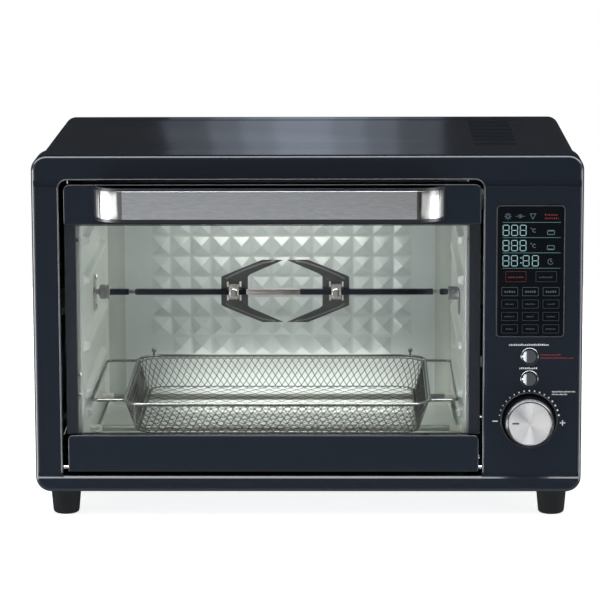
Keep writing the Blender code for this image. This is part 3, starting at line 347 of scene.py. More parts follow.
def dress(node, mat, angle=30):
    """A CAD node that stays as it is and gets a finished material."""
    obj = NODES[node]
    obj.data.materials.clear()
    obj.data.materials.append(mat)
    obj.data.shade_smooth()
    obj.data.set_sharp_from_angle(angle=math.radians(angle))


# ---------------------------------------------------------------- materials

def new_material(name, colour, roughness, metallic=0.0, **more):
    """A Principled material; more sets other inputs by name, with _ for a space."""
    mat = bpy.data.materials.new(name)
    mat.use_nodes = True
    shader = mat.node_tree.nodes["Principled BSDF"]
    shader.inputs["Base Color"].default_value = (*colour, 1)
    shader.inputs["Roughness"].default_value = roughness
    shader.inputs["Metallic"].default_value = metallic
    for key, value in more.items():
        shader.inputs[key.replace("_", " ")].default_value = value
    return mat


def mottle(mat, scale, colour_spread=0.0, rough_spread=0.0, bump=0.0, stretch=(1, 1, 1), detail=3,
           distance=0.0002, kind="noise"):
    """Adds one layer of procedural grain: colour, roughness and relief from the same pattern."""
    tree = mat.node_tree
    shader = tree.nodes["Principled BSDF"]
    coord = tree.nodes.new("ShaderNodeTexCoord")
    mapping = tree.nodes.new("ShaderNodeMapping")
    mapping.inputs["Scale"].default_value = stretch
    if kind == "noise":
        pattern = tree.nodes.new("ShaderNodeTexNoise")
        pattern.inputs["Detail"].default_value = detail
        value = pattern.outputs["Fac"]
    else:
        pattern = tree.nodes.new("ShaderNodeTexVoronoi")
        value = pattern.outputs["Color"]
    pattern.inputs["Scale"].default_value = scale
    tree.links.new(coord.outputs["Object"], mapping.inputs["Vector"])
    tree.links.new(mapping.outputs["Vector"], pattern.inputs["Vector"])
    if colour_spread:
        base = tuple(shader.inputs["Base Color"].default_value)
        ramp = tree.nodes.new("ShaderNodeValToRGB")
        ramp.color_ramp.elements[0].position = 0.25
        ramp.color_ramp.elements[1].position = 0.75
        ramp.color_ramp.elements[0].color = (*[c * (1 - colour_spread) for c in base[:3]], 1)
        ramp.color_ramp.elements[1].color = (*[min(1, c * (1 + colour_spread)) for c in base[:3]], 1)
        tree.links.new(value, ramp.inputs["Fac"])
        tree.links.new(ramp.outputs["Color"], shader.inputs["Base Color"])
    if rough_spread:
        rough = shader.inputs["Roughness"].default_value
        remap = tree.nodes.new("ShaderNodeMapRange")
        remap.inputs["From Min"].default_value = 0.3
        remap.inputs["From Max"].default_value = 0.7
        remap.inputs["To Min"].default_value = max(0.02, rough - rough_spread)
        remap.inputs["To Max"].default_value = rough + rough_spread
        tree.links.new(value, remap.inputs["Value"])
        tree.links.new(remap.outputs["Result"], shader.inputs["Roughness"])
    if bump:
        relief = tree.nodes.new("ShaderNodeBump")
        relief.inputs["Strength"].default_value = bump
        relief.inputs["Distance"].default_value = distance
        tree.links.new(value, relief.inputs["Height"])
        previous = shader.inputs["Normal"].links
        if previous:
            tree.links.new(previous[0].from_socket, relief.inputs["Normal"])
        tree.links.new(relief.outputs["Normal"], shader.inputs["Normal"])
    return mat


def finish(name, colour, roughness, metallic, scale, colour_spread, rough_spread, bump=0.0, gloss=None,
           **grain):
    """A material with one layer of grain; gloss is its specular level."""
    level = {} if gloss is None else {"Specular_IOR_Level": gloss}
    return mottle(new_material(name, colour, roughness, metallic, **level), scale, colour_spread,
                  rough_spread, bump, **grain)


def glow(name, colour, strength):
    """A lit segment or icon behind the display's glass."""
    mat = new_material(name, [c * 0.3 for c in colour], 0.5)
    shader = mat.node_tree.nodes["Principled BSDF"]
    shader.inputs["Emission Color"].default_value = (*colour, 1)
    shader.inputs["Emission Strength"].default_value = strength
    return mottle(mat, 900, rough_spread=0.1)


NAVY = (0.0085, 0.0142, 0.0245)
fascia_coat = finish("fascia_coat", NAVY, 0.20, 0.0, 1400, 0.05, 0.03, 0.04, gloss=0.34, distance=0.00005)
sheet_coat = finish("sheet_coat", (0.0090, 0.0140, 0.0230), 0.22, 0.0, 900, 0.06, 0.03, 0.04, gloss=0.34,
                    distance=0.00006)
rail_coat = finish("rail_coat", (0.0090, 0.0150, 0.0255), 0.20, 0.0, 1300, 0.05, 0.03, 0.04, gloss=0.34,
                   distance=0.00005)
# Painted highlight: a lighter copy of the navy coat, for the bead round the door opening.
bead_highlight_coat = finish("bead_highlight_coat", (0.030, 0.037, 0.048), 0.24, 0.0, 1300, 0.05, 0.03, gloss=0.45)
satin_black = finish("satin_black", (0.008, 0.009, 0.011), 0.34, 0.0, 1100, 0.15, 0.05, 0.05,
                     distance=0.00005)
print_black = finish("print_black", (0.017, 0.022, 0.029), 0.22, 0.0, 700, 0.10, 0.03)
rubber = finish("rubber", (0.0170, 0.0182, 0.0195), 0.66, 0.0, 1600, 0.20, 0.08, 0.15, gloss=0.03,
                distance=0.0001)
liner = finish("liner", (0.62, 0.67, 0.64), 0.34, 0.30, 40, 0.03, 0.03)
# Painted shade: a darker copy of the side liner, for the front flanges and faces that turn toward the door.
front_faces_shade_liner = finish("front_faces_shade_liner", (0.38, 0.42, 0.40), 0.45, 0.10, 40, 0.03, 0.03)
# Painted light and shade: the right wall's liner is a darker copy and the left wall's a lighter copy of one
# aluminised sheet.
right_liner_shaded = finish("right_liner_shaded", (0.57, 0.615, 0.595), 0.36, 0.22, 40, 0.03, 0.03)
left_liner_lit = finish("left_liner_lit", (0.66, 0.705, 0.675), 0.36, 0.22, 40, 0.03, 0.03)
back_liner = finish("back_liner", (0.58, 0.635, 0.64), 0.32, 0.34, 40, 0.03, 0.03)
brushed = finish("brushed", (0.86, 0.92, 1.0), 0.20, 1.0, 2300, 0.15, 0.05, 0.06, stretch=(0.06, 1, 1),
                 detail=5, distance=0.00003)
polished = finish("polished", (0.36, 0.362, 0.364), 0.13, 1.0, 300, 0.03, 0.02)
stainless = finish("stainless", (0.60, 0.60, 0.56), 0.26, 1.0, 300, 0.06, 0.06, 0.02, distance=0.00003)
fork_steel = finish("fork_steel", (0.115, 0.118, 0.118), 0.46, 0.55, 500, 0.08, 0.06, 0.02, distance=0.00003)
clamp_steel = finish("clamp_steel", (0.66, 0.64, 0.58), 0.30, 0.7, 400, 0.06, 0.06)
# Painted highlight: a lighter copy of the fork's steel for the pressed ribs.
rib_highlight_steel = finish("rib_highlight_steel", (0.30, 0.30, 0.30), 0.36, 0.6, 400, 0.06, 0.06)
chrome = finish("chrome", (0.78, 0.77, 0.75), 0.09, 1.0, 400, 0.04, 0.03)
wire_chrome = finish("wire_chrome", (0.30, 0.31, 0.315), 0.22, 1.0, 500, 0.10, 0.05)
mesh_wire = finish("mesh_wire", (0.085, 0.087, 0.084), 0.30, 1.0, 500, 0.12, 0.05)
spit_steel = finish("spit_steel", (0.050, 0.060, 0.080), 0.16, 1.0, 500, 0.08, 0.05, stretch=(0.03, 1, 1))
rod_bright = finish("rod_bright", (0.72, 0.66, 0.64), 0.24, 1.0, 500, 0.10, 0.06, stretch=(0.03, 1, 1))
sheath = finish("sheath", (0.36, 0.37, 0.345), 0.40, 0.45, 240, 0.25, 0.10, 0.06, stretch=(0.3, 1, 1))
ceramic = finish("ceramic", (0.78, 0.76, 0.70), 0.62, 0.0, 900, 0.05, 0.08, 0.12)
plated = finish("plated", (0.34, 0.345, 0.35), 0.34, 1.0, 220, 0.12, 0.08, 0.05)
aluminium = finish("aluminium", (0.78, 0.78, 0.79), 0.28, 1.0, 500, 0.06, 0.06, 0.05)
laminate = finish("laminate", (0.015, 0.10, 0.04), 0.42, 0.0, 260, 0.25, 0.08, kind="voronoi")
knob_black = finish("knob_black", (0.005, 0.006, 0.008), 0.30, 0.0, 1200, 0.1, 0.05, 0.04, gloss=0.10)
knob_ring = finish("knob_ring", (0.085, 0.088, 0.094), 0.26, 1.0, 600, 0.06, 0.05)
button_face = finish("button_face", (0.26, 0.29, 0.325), 0.14, 1.0, 500, 0.04, 0.03)
ring_chrome = finish("ring_chrome", (0.15, 0.155, 0.16), 0.18, 1.0, 400, 0.04, 0.03)
display_black = finish("display_black", (0.0030, 0.0045, 0.0065), 0.07, 0.0, 500, 0.1, 0.02, gloss=0.12)
display_rim = finish("display_rim", (0.050, 0.054, 0.060), 0.32, 0.5, 900, 0.08, 0.05)
brass = finish("brass", (0.42, 0.39, 0.33), 0.30, 1.0, 500, 0.1, 0.06)
index_grey = finish("index_grey", (0.055, 0.058, 0.062), 0.5, 0.0, 900, 0.1, 0.05)
white_print = finish("white_print", (0.82, 0.83, 0.84), 0.45, 0.0, 900, 0.04, 0.05)
red_print = finish("red_print", (0.26, 0.018, 0.018), 0.45, 0.0, 900, 0.06, 0.05)
digits_glow = glow("digits_glow", (0.40, 0.68, 0.72), 0.78)
icon_glow = glow("icon_glow", (0.10, 0.17, 0.21), 0.55)
line_glow = glow("line_glow", (0.08, 0.19, 0.18), 0.75)
key_glow = glow("key_glow", (0.024, 0.038, 0.050), 0.75)
lit_key_glow = glow("lit_key_glow", (0.050, 0.085, 0.105), 0.75)
red_glow = glow("red_glow", (0.11, 0.007, 0.009), 0.75)
oxide = finish("black_oxide", (0.012, 0.013, 0.015), 0.5, 0.0, 400, 0.2, 0.1, gloss=0.15)
# Painted shade: a near-black, nearly matt finish for the floor of the knob's recess.
recess_shade_black = finish("recess_shade_black", (0.003, 0.0035, 0.005), 0.5, 0.0, 500, 0.1, 0.1, gloss=0.04)

glass = mottle(new_material("door_glass", (0.020, 0.026, 0.028), 0.03, Alpha=0.055, IOR=1.5), 300,
               rough_spread=0.01)
lens = mottle(new_material("lamp_glass", (0.80, 0.84, 0.78), 0.18, Alpha=0.55), 300, rough_spread=0.05)


# Painted highlight and shade: how much lighter or darker the knob face's base colour is at each angle round
# its axis.
PAINTED_SECTOR_SHADES = ((0.0, 0.95), (0.07, 1.15), (0.16, 1.00), (0.22, 0.74), (0.27, 0.66), (0.33, 0.90), (0.42, 1.20),
          (0.50, 1.35), (0.58, 1.30), (0.66, 1.10), (0.71, 0.72), (0.76, 0.60), (0.82, 0.88), (0.88, 0.70),
          (0.94, 0.90), (1.0, 0.95))


def turned_grain_and_painted_sectors(name, colour, roughness, centre, axis):
    """Metal brushed in circles about an axis: fine rings, a highlight that fans out from the centre, and
    painted highlight and shade in lighter and darker sectors round the axis.
    """
    mat = new_material(name, colour, roughness, 1.0, Anisotropic=0.78)
    tree = mat.node_tree
    shader = tree.nodes["Principled BSDF"]
    tangent = tree.nodes.new("ShaderNodeTangent")
    tangent.direction_type = "RADIAL"
    tangent.axis = axis
    tree.links.new(tangent.outputs["Tangent"], shader.inputs["Tangent"])
    coord = tree.nodes.new("ShaderNodeTexCoord")
    shift = tree.nodes.new("ShaderNodeMapping")
    shift.inputs["Location"].default_value = [-c for c in centre]
    split = tree.nodes.new("ShaderNodeSeparateXYZ")
    turn = tree.nodes.new("ShaderNodeMath")
    turn.operation = "ARCTAN2"
    tree.links.new(coord.outputs["Object"], shift.inputs["Vector"])
    tree.links.new(shift.outputs["Vector"], split.inputs["Vector"])
    tree.links.new(split.outputs["Z"], turn.inputs[0])
    tree.links.new(split.outputs["X"], turn.inputs[1])
    part = tree.nodes.new("ShaderNodeMapRange")
    part.inputs["From Min"].default_value = -math.pi
    part.inputs["From Max"].default_value = math.pi
    tree.links.new(turn.outputs["Value"], part.inputs["Value"])
    # Painted highlight and shade: the base colour turns lighter and darker by angle round the axis.
    ramp = tree.nodes.new("ShaderNodeValToRGB")
    while len(ramp.color_ramp.elements) < len(PAINTED_SECTOR_SHADES):
        ramp.color_ramp.elements.new(0.5)
    for stop, (place, shade) in zip(ramp.color_ramp.elements, PAINTED_SECTOR_SHADES):
        stop.position = place
        stop.color = (*[min(1, c * shade) for c in colour], 1)
    tree.links.new(part.outputs["Result"], ramp.inputs["Fac"])
    tree.links.new(ramp.outputs["Color"], shader.inputs["Base Color"])
    fine = tree.nodes.new("ShaderNodeTexWave")
    fine.wave_type = "RINGS"
    fine.rings_direction = axis
    fine.inputs["Scale"].default_value = 700
    fine.inputs["Distortion"].default_value = 1.5
    tree.links.new(shift.outputs["Vector"], fine.inputs["Vector"])
    spread = tree.nodes.new("ShaderNodeMapRange")
    spread.inputs["To Min"].default_value = roughness - 0.03
    spread.inputs["To Max"].default_value = roughness + 0.03
    tree.links.new(fine.outputs["Fac"], spread.inputs["Value"])
    tree.links.new(spread.outputs["Result"], shader.inputs["Roughness"])
    return mat


# ---------------------------------------------------------------- casing

OPEN_LEFT, OPEN_RIGHT, OPEN_BOTTOM, OPEN_TOP = -0.2457, 0.1743, 0.0412, 0.342
GROOVE, GROOVE_DEPTH = 0.0062, 0.0019
RIM = 0.0045
WINDOW_LOW, WINDOW_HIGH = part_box("display_window")
KNOB_LOW, KNOB_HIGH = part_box("selector_knob")
KNOB_X, KNOB_Z = (KNOB_LOW.x + KNOB_HIGH.x) / 2, (KNOB_LOW.z + KNOB_HIGH.z) / 2
RING_PLACES = [("upper", "convection_button", "convection_key"), ("lower", "start_button", "start_key")]


def middle_of(node):
    """Centre of a CAD node's box."""
    low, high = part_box(node)
    return (low + high) / 2


def fascia():
    """The moulded front: opening, grooves, window, button holes and the knob's recess."""
    outline = rounded_outline(-HALF_WIDTH, HALF_WIDTH, BODY_BOTTOM, BODY_TOP, 0.015, 0.0155, 14)
    obj = prism("fascia", outline, "XZ", FRONT, FRONT + FASCIA_DEPTH)
    soften(obj, RIM, 9, on_plane(1, FRONT))
    wall = 0.0025
    inner = rounded_outline(-HALF_WIDTH + wall, HALF_WIDTH - wall, BODY_BOTTOM + wall, BODY_TOP - wall,
                            0.0125, 0.013, 8)
    opening = rounded_outline(OPEN_LEFT, OPEN_RIGHT, OPEN_BOTTOM, OPEN_TOP, 0.0035, 0.0085, 10)
    lip = rounded_outline(OPEN_LEFT - 0.0015, OPEN_RIGHT + 0.0015, OPEN_BOTTOM - 0.0015, OPEN_TOP + 0.0015,
                          0.005, 0.010, 10)
    boolean(obj, prism("hollow", inner, "XZ", at(0.0042), at(0.017), [lip]))
    boolean(obj, prism("hollow", inner, "XZ", at(0.016), at(0.06)))
    boolean(obj, prism("opening", opening, "XZ", at(-0.01), at(0.03)))
    edge = HALF_WIDTH - wall
    spans = []
    for low in (OPEN_BOTTOM, OPEN_TOP - GROOVE):
        spans.append(((-edge, at(-0.01), low), (OPEN_LEFT + 0.004, at(GROOVE_DEPTH), low + GROOVE)))
        spans.append(((OPEN_RIGHT - 0.004, at(-0.01), low), (edge, at(GROOVE_DEPTH), low + GROOVE)))
    boolean(obj, boxes("grooves", spans))
    soften(obj, 0.0014, 4, on_plane(1, FRONT))
    window = rounded_outline(WINDOW_LOW.x - 0.0003, WINDOW_HIGH.x + 0.0003, WINDOW_LOW.z - 0.0003,
                             WINDOW_HIGH.z + 0.0003, 0.0043, 0.0043, 6)
    boolean(obj, prism("window_hole", window, "XZ", at(-0.01), at(0.012)))
    for _, node, _ in RING_PLACES:
        centre = middle_of(node)
        boolean(obj, plug(0.0090, -0.02, 0.02, (centre.x, FRONT, centre.z), "-Y", 48))
    recess = [(0, 0.01), (0.0276, 0.01), (0.0276, 0.0003), (0.0272, -0.0002), (0.0268, -0.0015), (0, -0.0015)]
    boolean(obj, turned("recess", recess, (KNOB_X, FRONT, KNOB_Z), "-Y", 96))
    boolean(obj, plug(0.0046, -0.02, 0.02, (KNOB_X, FRONT, KNOB_Z), "-Y", 32))
    return show(obj, fascia_coat, "casing", "front_frame", 28, True)


def opening_trim():
    """The sloping sill along the foot of the opening, and the bead round its other three sides."""
    low, edge = OPEN_BOTTOM, HALF_WIDTH - 0.0028
    front = FRONT + 0.00003
    section = [(front, low - 0.003), (front, low), (FRONT + 0.0019, low + 0.0019),
               (FRONT + 0.003, low + 0.0019), (FRONT + 0.003, low - 0.003)]
    sill = prism("sill", section, "YZ", -edge, edge)
    show(sill, fascia_coat, "casing", angle=20)
    out = 0.0008
    left, right, top, radius = OPEN_LEFT - out, OPEN_RIGHT + out, OPEN_TOP + out, 0.0093
    path = ([(right, low + GROOVE)] + arc((right - radius, top - radius), radius, 0, 90, 10)
            + arc((left + radius, top - radius), radius, 90, 180, 10) + [(left, low + GROOVE)])
    bm = bmesh.new()
    tube(bm, [(x, FRONT + 0.0002, z) for x, z in path], 0.0008, 12)
    # Painted highlight: the bead carries a lighter copy of the fascia's navy coat.
    show(object_of("opening_bead", bm), bead_highlight_coat, "casing", angle=60)


def recess_ring():
    """A fine moulded bead round the knob's recess."""
    bm = bmesh.new()
    profile = [(0.0283, 0.00002), (0.0281, 0.00028), (0.0277, 0.00036), (0.0273, 0.00026), (0.0271, -0.0006),
               (0.0283, -0.0006)]
    lathe(bm, profile, (KNOB_X, FRONT, KNOB_Z), "-Y", 96)
    show(object_of("recess_bead", bm), display_rim, "casing")
    # Painted shade: a near-black disc laid on the floor of the knob's recess.
    floor = [(0.0050, -0.00135), (0.0266, -0.00135), (0.0266, -0.00148), (0.0050, -0.00148)]
    show(turned("recess_shade_floor", floor, (KNOB_X, FRONT, KNOB_Z), "-Y", 96), recess_shade_black, "casing")


def cabinet():
    """The wrapper: one bent sheet with a raised field, top vents and side louvres."""
    low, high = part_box("outer_cabinet")
    side, top, rear = high.x, high.z, high.y
    radius, sheet, bottom = 0.0125, 0.001, low.z
    outer = ([(side, bottom)] + arc((side - radius, top - radius), radius, 0, 90, 14)
             + arc((radius - side, top - radius), radius, 90, 180, 14) + [(-side, bottom)])
    inner = ([(sheet - side, bottom)] + arc((radius - side, top - radius), radius - sheet, 180, 90, 14)
             + arc((side - radius, top - radius), radius - sheet, 90, 0, 14) + [(side - sheet, bottom)])
    obj = prism("cabinet", outer + inner, "XZ", low.y, rear)
    raised = [rounded_outline(-0.2325 + g, 0.2305 - g, at(0.129) + g, at(0.333) - g, 0.005, 0.005, 6)
              for g in (-0.0004, 0.0026)]
    bm = bmesh.new()
    loops = [[bm.verts.new((x, y, z)) for x, y in ring]
             for ring, z in ((raised[0], top + 0.001), (raised[0], top), (raised[1], top - 0.00055))]
    for first, second in zip(loops, loops[1:]):
        band(bm, first, second)
    bm.faces.new(loops[0])
    bm.faces.new(loops[-1])
    boolean(obj, object_of("emboss", bm))
    spans = []
    for i in range(18):
        depth = 0.104 + i * 0.0125
        spans.append(((0.169, at(depth), top - 0.004), (0.2125, at(depth + 0.0035), top + 0.004)))
    for sign in (-1, 1):
        for i in range(14):
            depth = 0.130 + i * 0.0125
            x0, x1 = sorted((sign * (side - 0.004), sign * (side + 0.004)))
            spans.append(((x0, at(depth), 0.070), (x1, at(depth + 0.0035), 0.125)))
    boolean(obj, boxes("louvres", spans))
    corner = side - radius
    boolean(obj, boxes("notches", [((x, at(0.03), 0.02), (x + 0.03, at(0.0455), 0.042))
                                   for x in (-corner - 0.03, corner)]))
    soften(obj, 0.0006, 3, on_plane(1, rear))
    show(obj, sheet_coat, "casing", "outer_cabinet", 8)


def rear_sheet():
    """The back: one pressed sheet with round corners, a raised field, vents and a hole for the cord."""
    low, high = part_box("rear_cover")
    flat = low.y + SHEET
    bm = bmesh.new()
    loops = []
    for inset, radius, y in ((0, 0.0125, flat), (0.0550, 0.010, flat), (0.0562, 0.009, flat + 0.0010),
                             (0.0636, 0.006, high.y - 0.0010), (0.0650, 0.005, high.y)):
        outline = rounded_outline(low.x + inset, high.x - inset, low.z + inset, high.z - inset, radius,
                                  radius, 10)
        loops.append([bm.verts.new((x, y, z)) for x, z in outline])
    count = len(loops[0])
    for first, second in zip(loops, loops[1:]):
        for i in range(count):
            j = (i + 1) % count
            bm.faces.new((first[i], second[i], second[j], first[j]))
    bm.faces.new(loops[-1][::-1])
    obj = object_of("rear_sheet", bm)
    if max(obj.data.polygons, key=lambda f: f.area).normal.y < 0:
        obj.data.flip_normals()
    thicken(obj, SHEET)
    slots = []
    for x in (-0.150 + i * 0.0245 for i in range(12)):
        for z in (0.125, 0.235):
            slots.append(((x, high.y - 0.006, z), (x + 0.004, high.y + 0.004, z + 0.045)))
    boolean(obj, boxes("rear_slots", slots))
    cord = middle_of("cord_gland")
    boolean(obj, prism("cord_hole", arc((cord.x, cord.z), 0.0075, 0, 345, 23), "XZ", low.y - 0.003,
                       flat + 0.003))
    soften(obj, 0.0004, 2, on_plane(1, flat))
    show(obj, sheet_coat, "casing", "rear_cover", 20)


def screw_head(bm, centre, axis, radius=0.0028, height=0.0014):
    """A pan-head screw with a dished crown."""
    profile = [(0, height * 0.62), (radius * 0.30, height * 0.66), (radius * 0.42, height),
               (radius * 0.75, height * 0.92), (radius * 0.96, height * 0.5), (radius, 0), (0, 0)]
    lathe(bm, profile, centre, axis, 20)


def casing_screws():
    """Screws of the rear cover and of the cavity's front flanges."""
    bm = bmesh.new()
    low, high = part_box("rear_cover")
    for x in (low.x + 0.010, -0.09, 0.09, high.x - 0.010):
        for z in (low.z + 0.010, high.z - 0.010):
            screw_head(bm, (x, at(0.3613), z), "Y", 0.0034, 0.0018)
    show(object_of("rear_screws", bm), plated, "casing")
    bm = bmesh.new()
    left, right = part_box("cavity_left_wall")[0].x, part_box("cavity_right_wall")[1].x
    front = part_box("cavity_left_wall")[0].y
    for x in (left + 0.0030, right - 0.0030):
        for z in (0.280, 0.143, 0.1228):
            screw_head(bm, (x, front, z), "-Y", 0.0021, 0.0011)
    show(object_of("flange_screws_front", bm), brass, "casing")


def feet():
    """Tapered rubber boots with a hollow foot."""
    for node in ("foot_front_left", "foot_front_right", "foot_rear_left", "foot_rear_right"):
        low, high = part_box(node)
        centre = (low + high) / 2
        top = high.z
        profile = [(0, top), (0.0152, top), (0.0155, top - 0.0004), (0.0155, top - 0.0016),
                   (0.0152, top - 0.0022)]
        profile += [(0.0152 + (0.0133 - 0.0152) * i / 6, top - 0.0022 - (top - 0.0062) * i / 6)
                    for i in range(1, 7)]
        profile += quarter(0.0035, 0.0097, 0.0035, 0, -90, 6)
        profile += [(0.0062, 0), (0.0058, 0.0005), (0.0058, 0.006), (0, 0.006)]
        show(turned(node + "_boot", profile, (centre.x, centre.y, 0), "Z", 56), rubber, "casing", node,
             40)


# ---------------------------------------------------------------- door

def door():
    """Rails, glass with its printed border, and stiles."""
    for name, low_radius, high_radius in (("top_rail", 0.0025, 0.0065), ("bottom_rail", 0.0012, 0.0045)):
        low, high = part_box("door_" + name)
        outline = rounded_outline(low.x, high.x, low.z, high.z, low_radius, high_radius, 8)
        rail = prism(name, outline, "XZ", low.y, high.y)
        soften(rail, 0.0013, 4, on_plane(1, low.y))
        if name == "bottom_rail":
            pivot = (at(0.0072), middle_of("hinge_pin_left").z)
            for x, axis in ((low.x - 0.004, "X"), (high.x + 0.004, "-X")):
                boolean(rail, plug(0.0023, 0, 0.011, (x, *pivot), axis, 24))
        show(rail, rail_coat, "door", "door_" + name, 28, True)

    low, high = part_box("door_glass")
    pane = prism("glass_pane", rounded_outline(low.x, high.x, low.z, high.z, 0.001, 0.001, 4), "XZ", low.y,
                 high.y)
    soften(pane, 0.0007, 2, sharp)
    show(pane, glass, "door", "door_glass", 28, True)

    window = rounded_outline(low.x + 0.0112, high.x - 0.0112, low.z - 0.02, high.z + 0.02, 0.001, 0.001, 2)
    window = [(x, min(max(z, low.z + 0.0012), high.z - 0.0012)) for x, z in window]
    print_area = prism("glass_print", rounded_outline(low.x + 0.0004, high.x - 0.0004, low.z + 0.0004,
                                                      high.z - 0.0004, 0.001, 0.001, 2), "XZ",
                                                      high.y + 0.00005, high.y + 0.00012, [window])
    show(print_area, print_black, "door")

    for node in ("door_stile_left", "door_stile_right"):
        low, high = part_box(node)
        stile = boxes(node + "_bar", [(low, high)])
        soften(stile, 0.0012, 3, sharp)
        show(stile, satin_black, "door", node, 28, True)


def handle():
    """A bent strip with brushed front and polished bends, over a dark core."""
    low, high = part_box("handle_bar")
    front, near = low.y, high.y
    bend, sheet = 0.030, 0.0016

    def strip(name, inset, thickness, z0, z1, steps=20):
        left, right = low.x + inset, high.x - inset
        y = front + inset
        r = bend - inset
        outside = ([(left, near)] + arc((left + r, y + r), r, 180, 270, steps)
                   + arc((right - r, y + r), r, 270, 360, steps) + [(right, near)])
        r_in = r - thickness
        inside = ([(right - thickness, near)] + arc((right - r, y + r), r_in, 360, 270, steps)
                  + arc((left + r, y + r), r_in, 270, 180, steps) + [(left + thickness, near)])
        return prism(name, outside + inside, "XY", z0, z1)

    bar = strip("handle_strip", 0, sheet, low.z, high.z)
    for z in (low.z, high.z):
        soften(bar, 0.00055, 3, on_plane(2, z))
    show(bar, [brushed, polished], "door", "handle_bar", 28)
    for face in bar.data.polygons:
        if not low.x + 0.031 < face.center.x < high.x - 0.031:
            face.material_index = 1
    back_low, back_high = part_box("handle_backing")
    back = strip("handle_core", sheet + 0.0003, 0.005, back_low.z, back_high.z)
    for z in (back_low.z, back_high.z):
        soften(back, 0.0009, 3, on_plane(2, z))
    show(back, satin_black, "door", "handle_backing", 28)


def pins():
    """Door pivots, shouldered and chamfered."""
    for node, axis in (("hinge_pin_left", "X"), ("hinge_pin_right", "-X")):
        low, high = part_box(node)
        start = low.x - 0.0003 if axis == "X" else high.x + 0.0003
        centre = (start, (low.y + high.y) / 2, (low.z + high.z) / 2)
        profile = [(0, 0.0096), (0.0014, 0.0096), (0.0018, 0.0091), (0.0018, 0.0027), (0.0020, 0.0026),
                   (0.0022, 0.0024), (0.0022, 0.0006), (0.0020, 0.0003), (0, 0.0003)]
        show(turned(node + "_turned", profile, centre, axis, 28), chrome, "casing", node)


# ---------------------------------------------------------------- cavity

WALL_LEFT, WALL_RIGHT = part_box("cavity_left_wall")[0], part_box("cavity_right_wall")[1]
FLANGE = 0.006                   # how far the side walls' front flanges turn outward
CAVITY_LEFT, CAVITY_RIGHT = WALL_LEFT.x + FLANGE, WALL_RIGHT.x - FLANGE
CAVITY_FRONT, CAVITY_BACK = WALL_LEFT.y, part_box("cavity_back")[1].y - SHEET
FLOOR_Z, ROOF_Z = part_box("cavity_floor")[1].z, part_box("cavity_roof")[0].z
GUIDES = (0.277, 0.237, 0.170, 0.1212, 0.1010)   # heights of the pressed rack guides
GUIDE_FRONT, GUIDE_BACK = at(0.030), at(0.270)


def smooth(t):
    """Smooth step from 0 to 1."""
    t = max(0.0, min(1.0, t))
    return t * t * (3 - 2 * t)


def guide_height(y, z):
    """How far the pressed guides stand out of the side wall."""
    best = 0.0
    along = min(smooth((y - GUIDE_FRONT) / 0.006), smooth((GUIDE_BACK - y) / 0.006))
    for height in GUIDES:
        across = smooth((0.0062 - abs(z - height)) / 0.0036)
        best = max(best, 0.0068 * min(along, across))
    return best


def side_sheet(name, node, wall_x, inward, mat):
    """A liner sheet: front flange with a round bend, pressed guides, and a round bend into the back."""
    low_z, high_z = FLOOR_Z + 0.0003, ROOF_Z - 0.0003
    path = [(wall_x - inward * FLANGE, CAVITY_FRONT + 0.0001)]
    bend = 0.0022
    path += [(wall_x - inward * bend * (1 - math.sin(a)), CAVITY_FRONT + bend * (1 - math.cos(a)))
             for a in [math.pi / 2 * i / 5 for i in range(6)]]
    back_bend = 0.022
    last = CAVITY_BACK - 0.0006
    straight_end = last - back_bend
    start = CAVITY_FRONT + bend
    stations = set()
    y = start + 0.002
    while y < straight_end:
        stations.add(round(y, 5))
        near_end = min(abs(y - at(0.033)), abs(y - at(0.267))) < 0.005
        y += 0.001 if near_end else 0.006
    path += [(wall_x, s) for s in sorted(stations)]
    path += [(wall_x + inward * back_bend * (1 - math.cos(a)), straight_end + back_bend * math.sin(a))
             for a in [math.pi / 2 * i / 10 for i in range(11)]]
    heights = {low_z, high_z}
    for height in GUIDES:
        for i in range(-10, 11):
            heights.add(round(height + i * 0.00066, 6))
    heights |= {low_z + 0.004, high_z - 0.004, 0.080, 0.145, 0.155, 0.190, 0.2045, 0.220, 0.255, 0.297}
    heights = sorted(h for h in heights if low_z <= h <= high_z)
    bm = bmesh.new()
    grid = [[bm.verts.new((x + inward * guide_height(y, z), y, z)) for x, y in path] for z in heights]
    for lower, upper in zip(grid, grid[1:]):
        for i in range(len(path) - 1):
            bm.faces.new((lower[i], lower[i + 1], upper[i + 1], upper[i]))
    obj = object_of(name, bm)
    with editing(obj) as bm:
        face = max(bm.faces, key=lambda f: f.calc_area())
        if face.normal.x * inward < 0:
            bmesh.ops.reverse_faces(bm, faces=bm.faces)
    thicken(obj, SHEET)
    show(obj, [mat, front_faces_shade_liner], "casing", node, 60)
    # Painted shade: faces at the front flange or facing the door take the darker liner copy.
    for face in obj.data.polygons:
        if face.center.y < CAVITY_FRONT + 0.0015 or face.normal.y < -0.55:
            face.material_index = 1


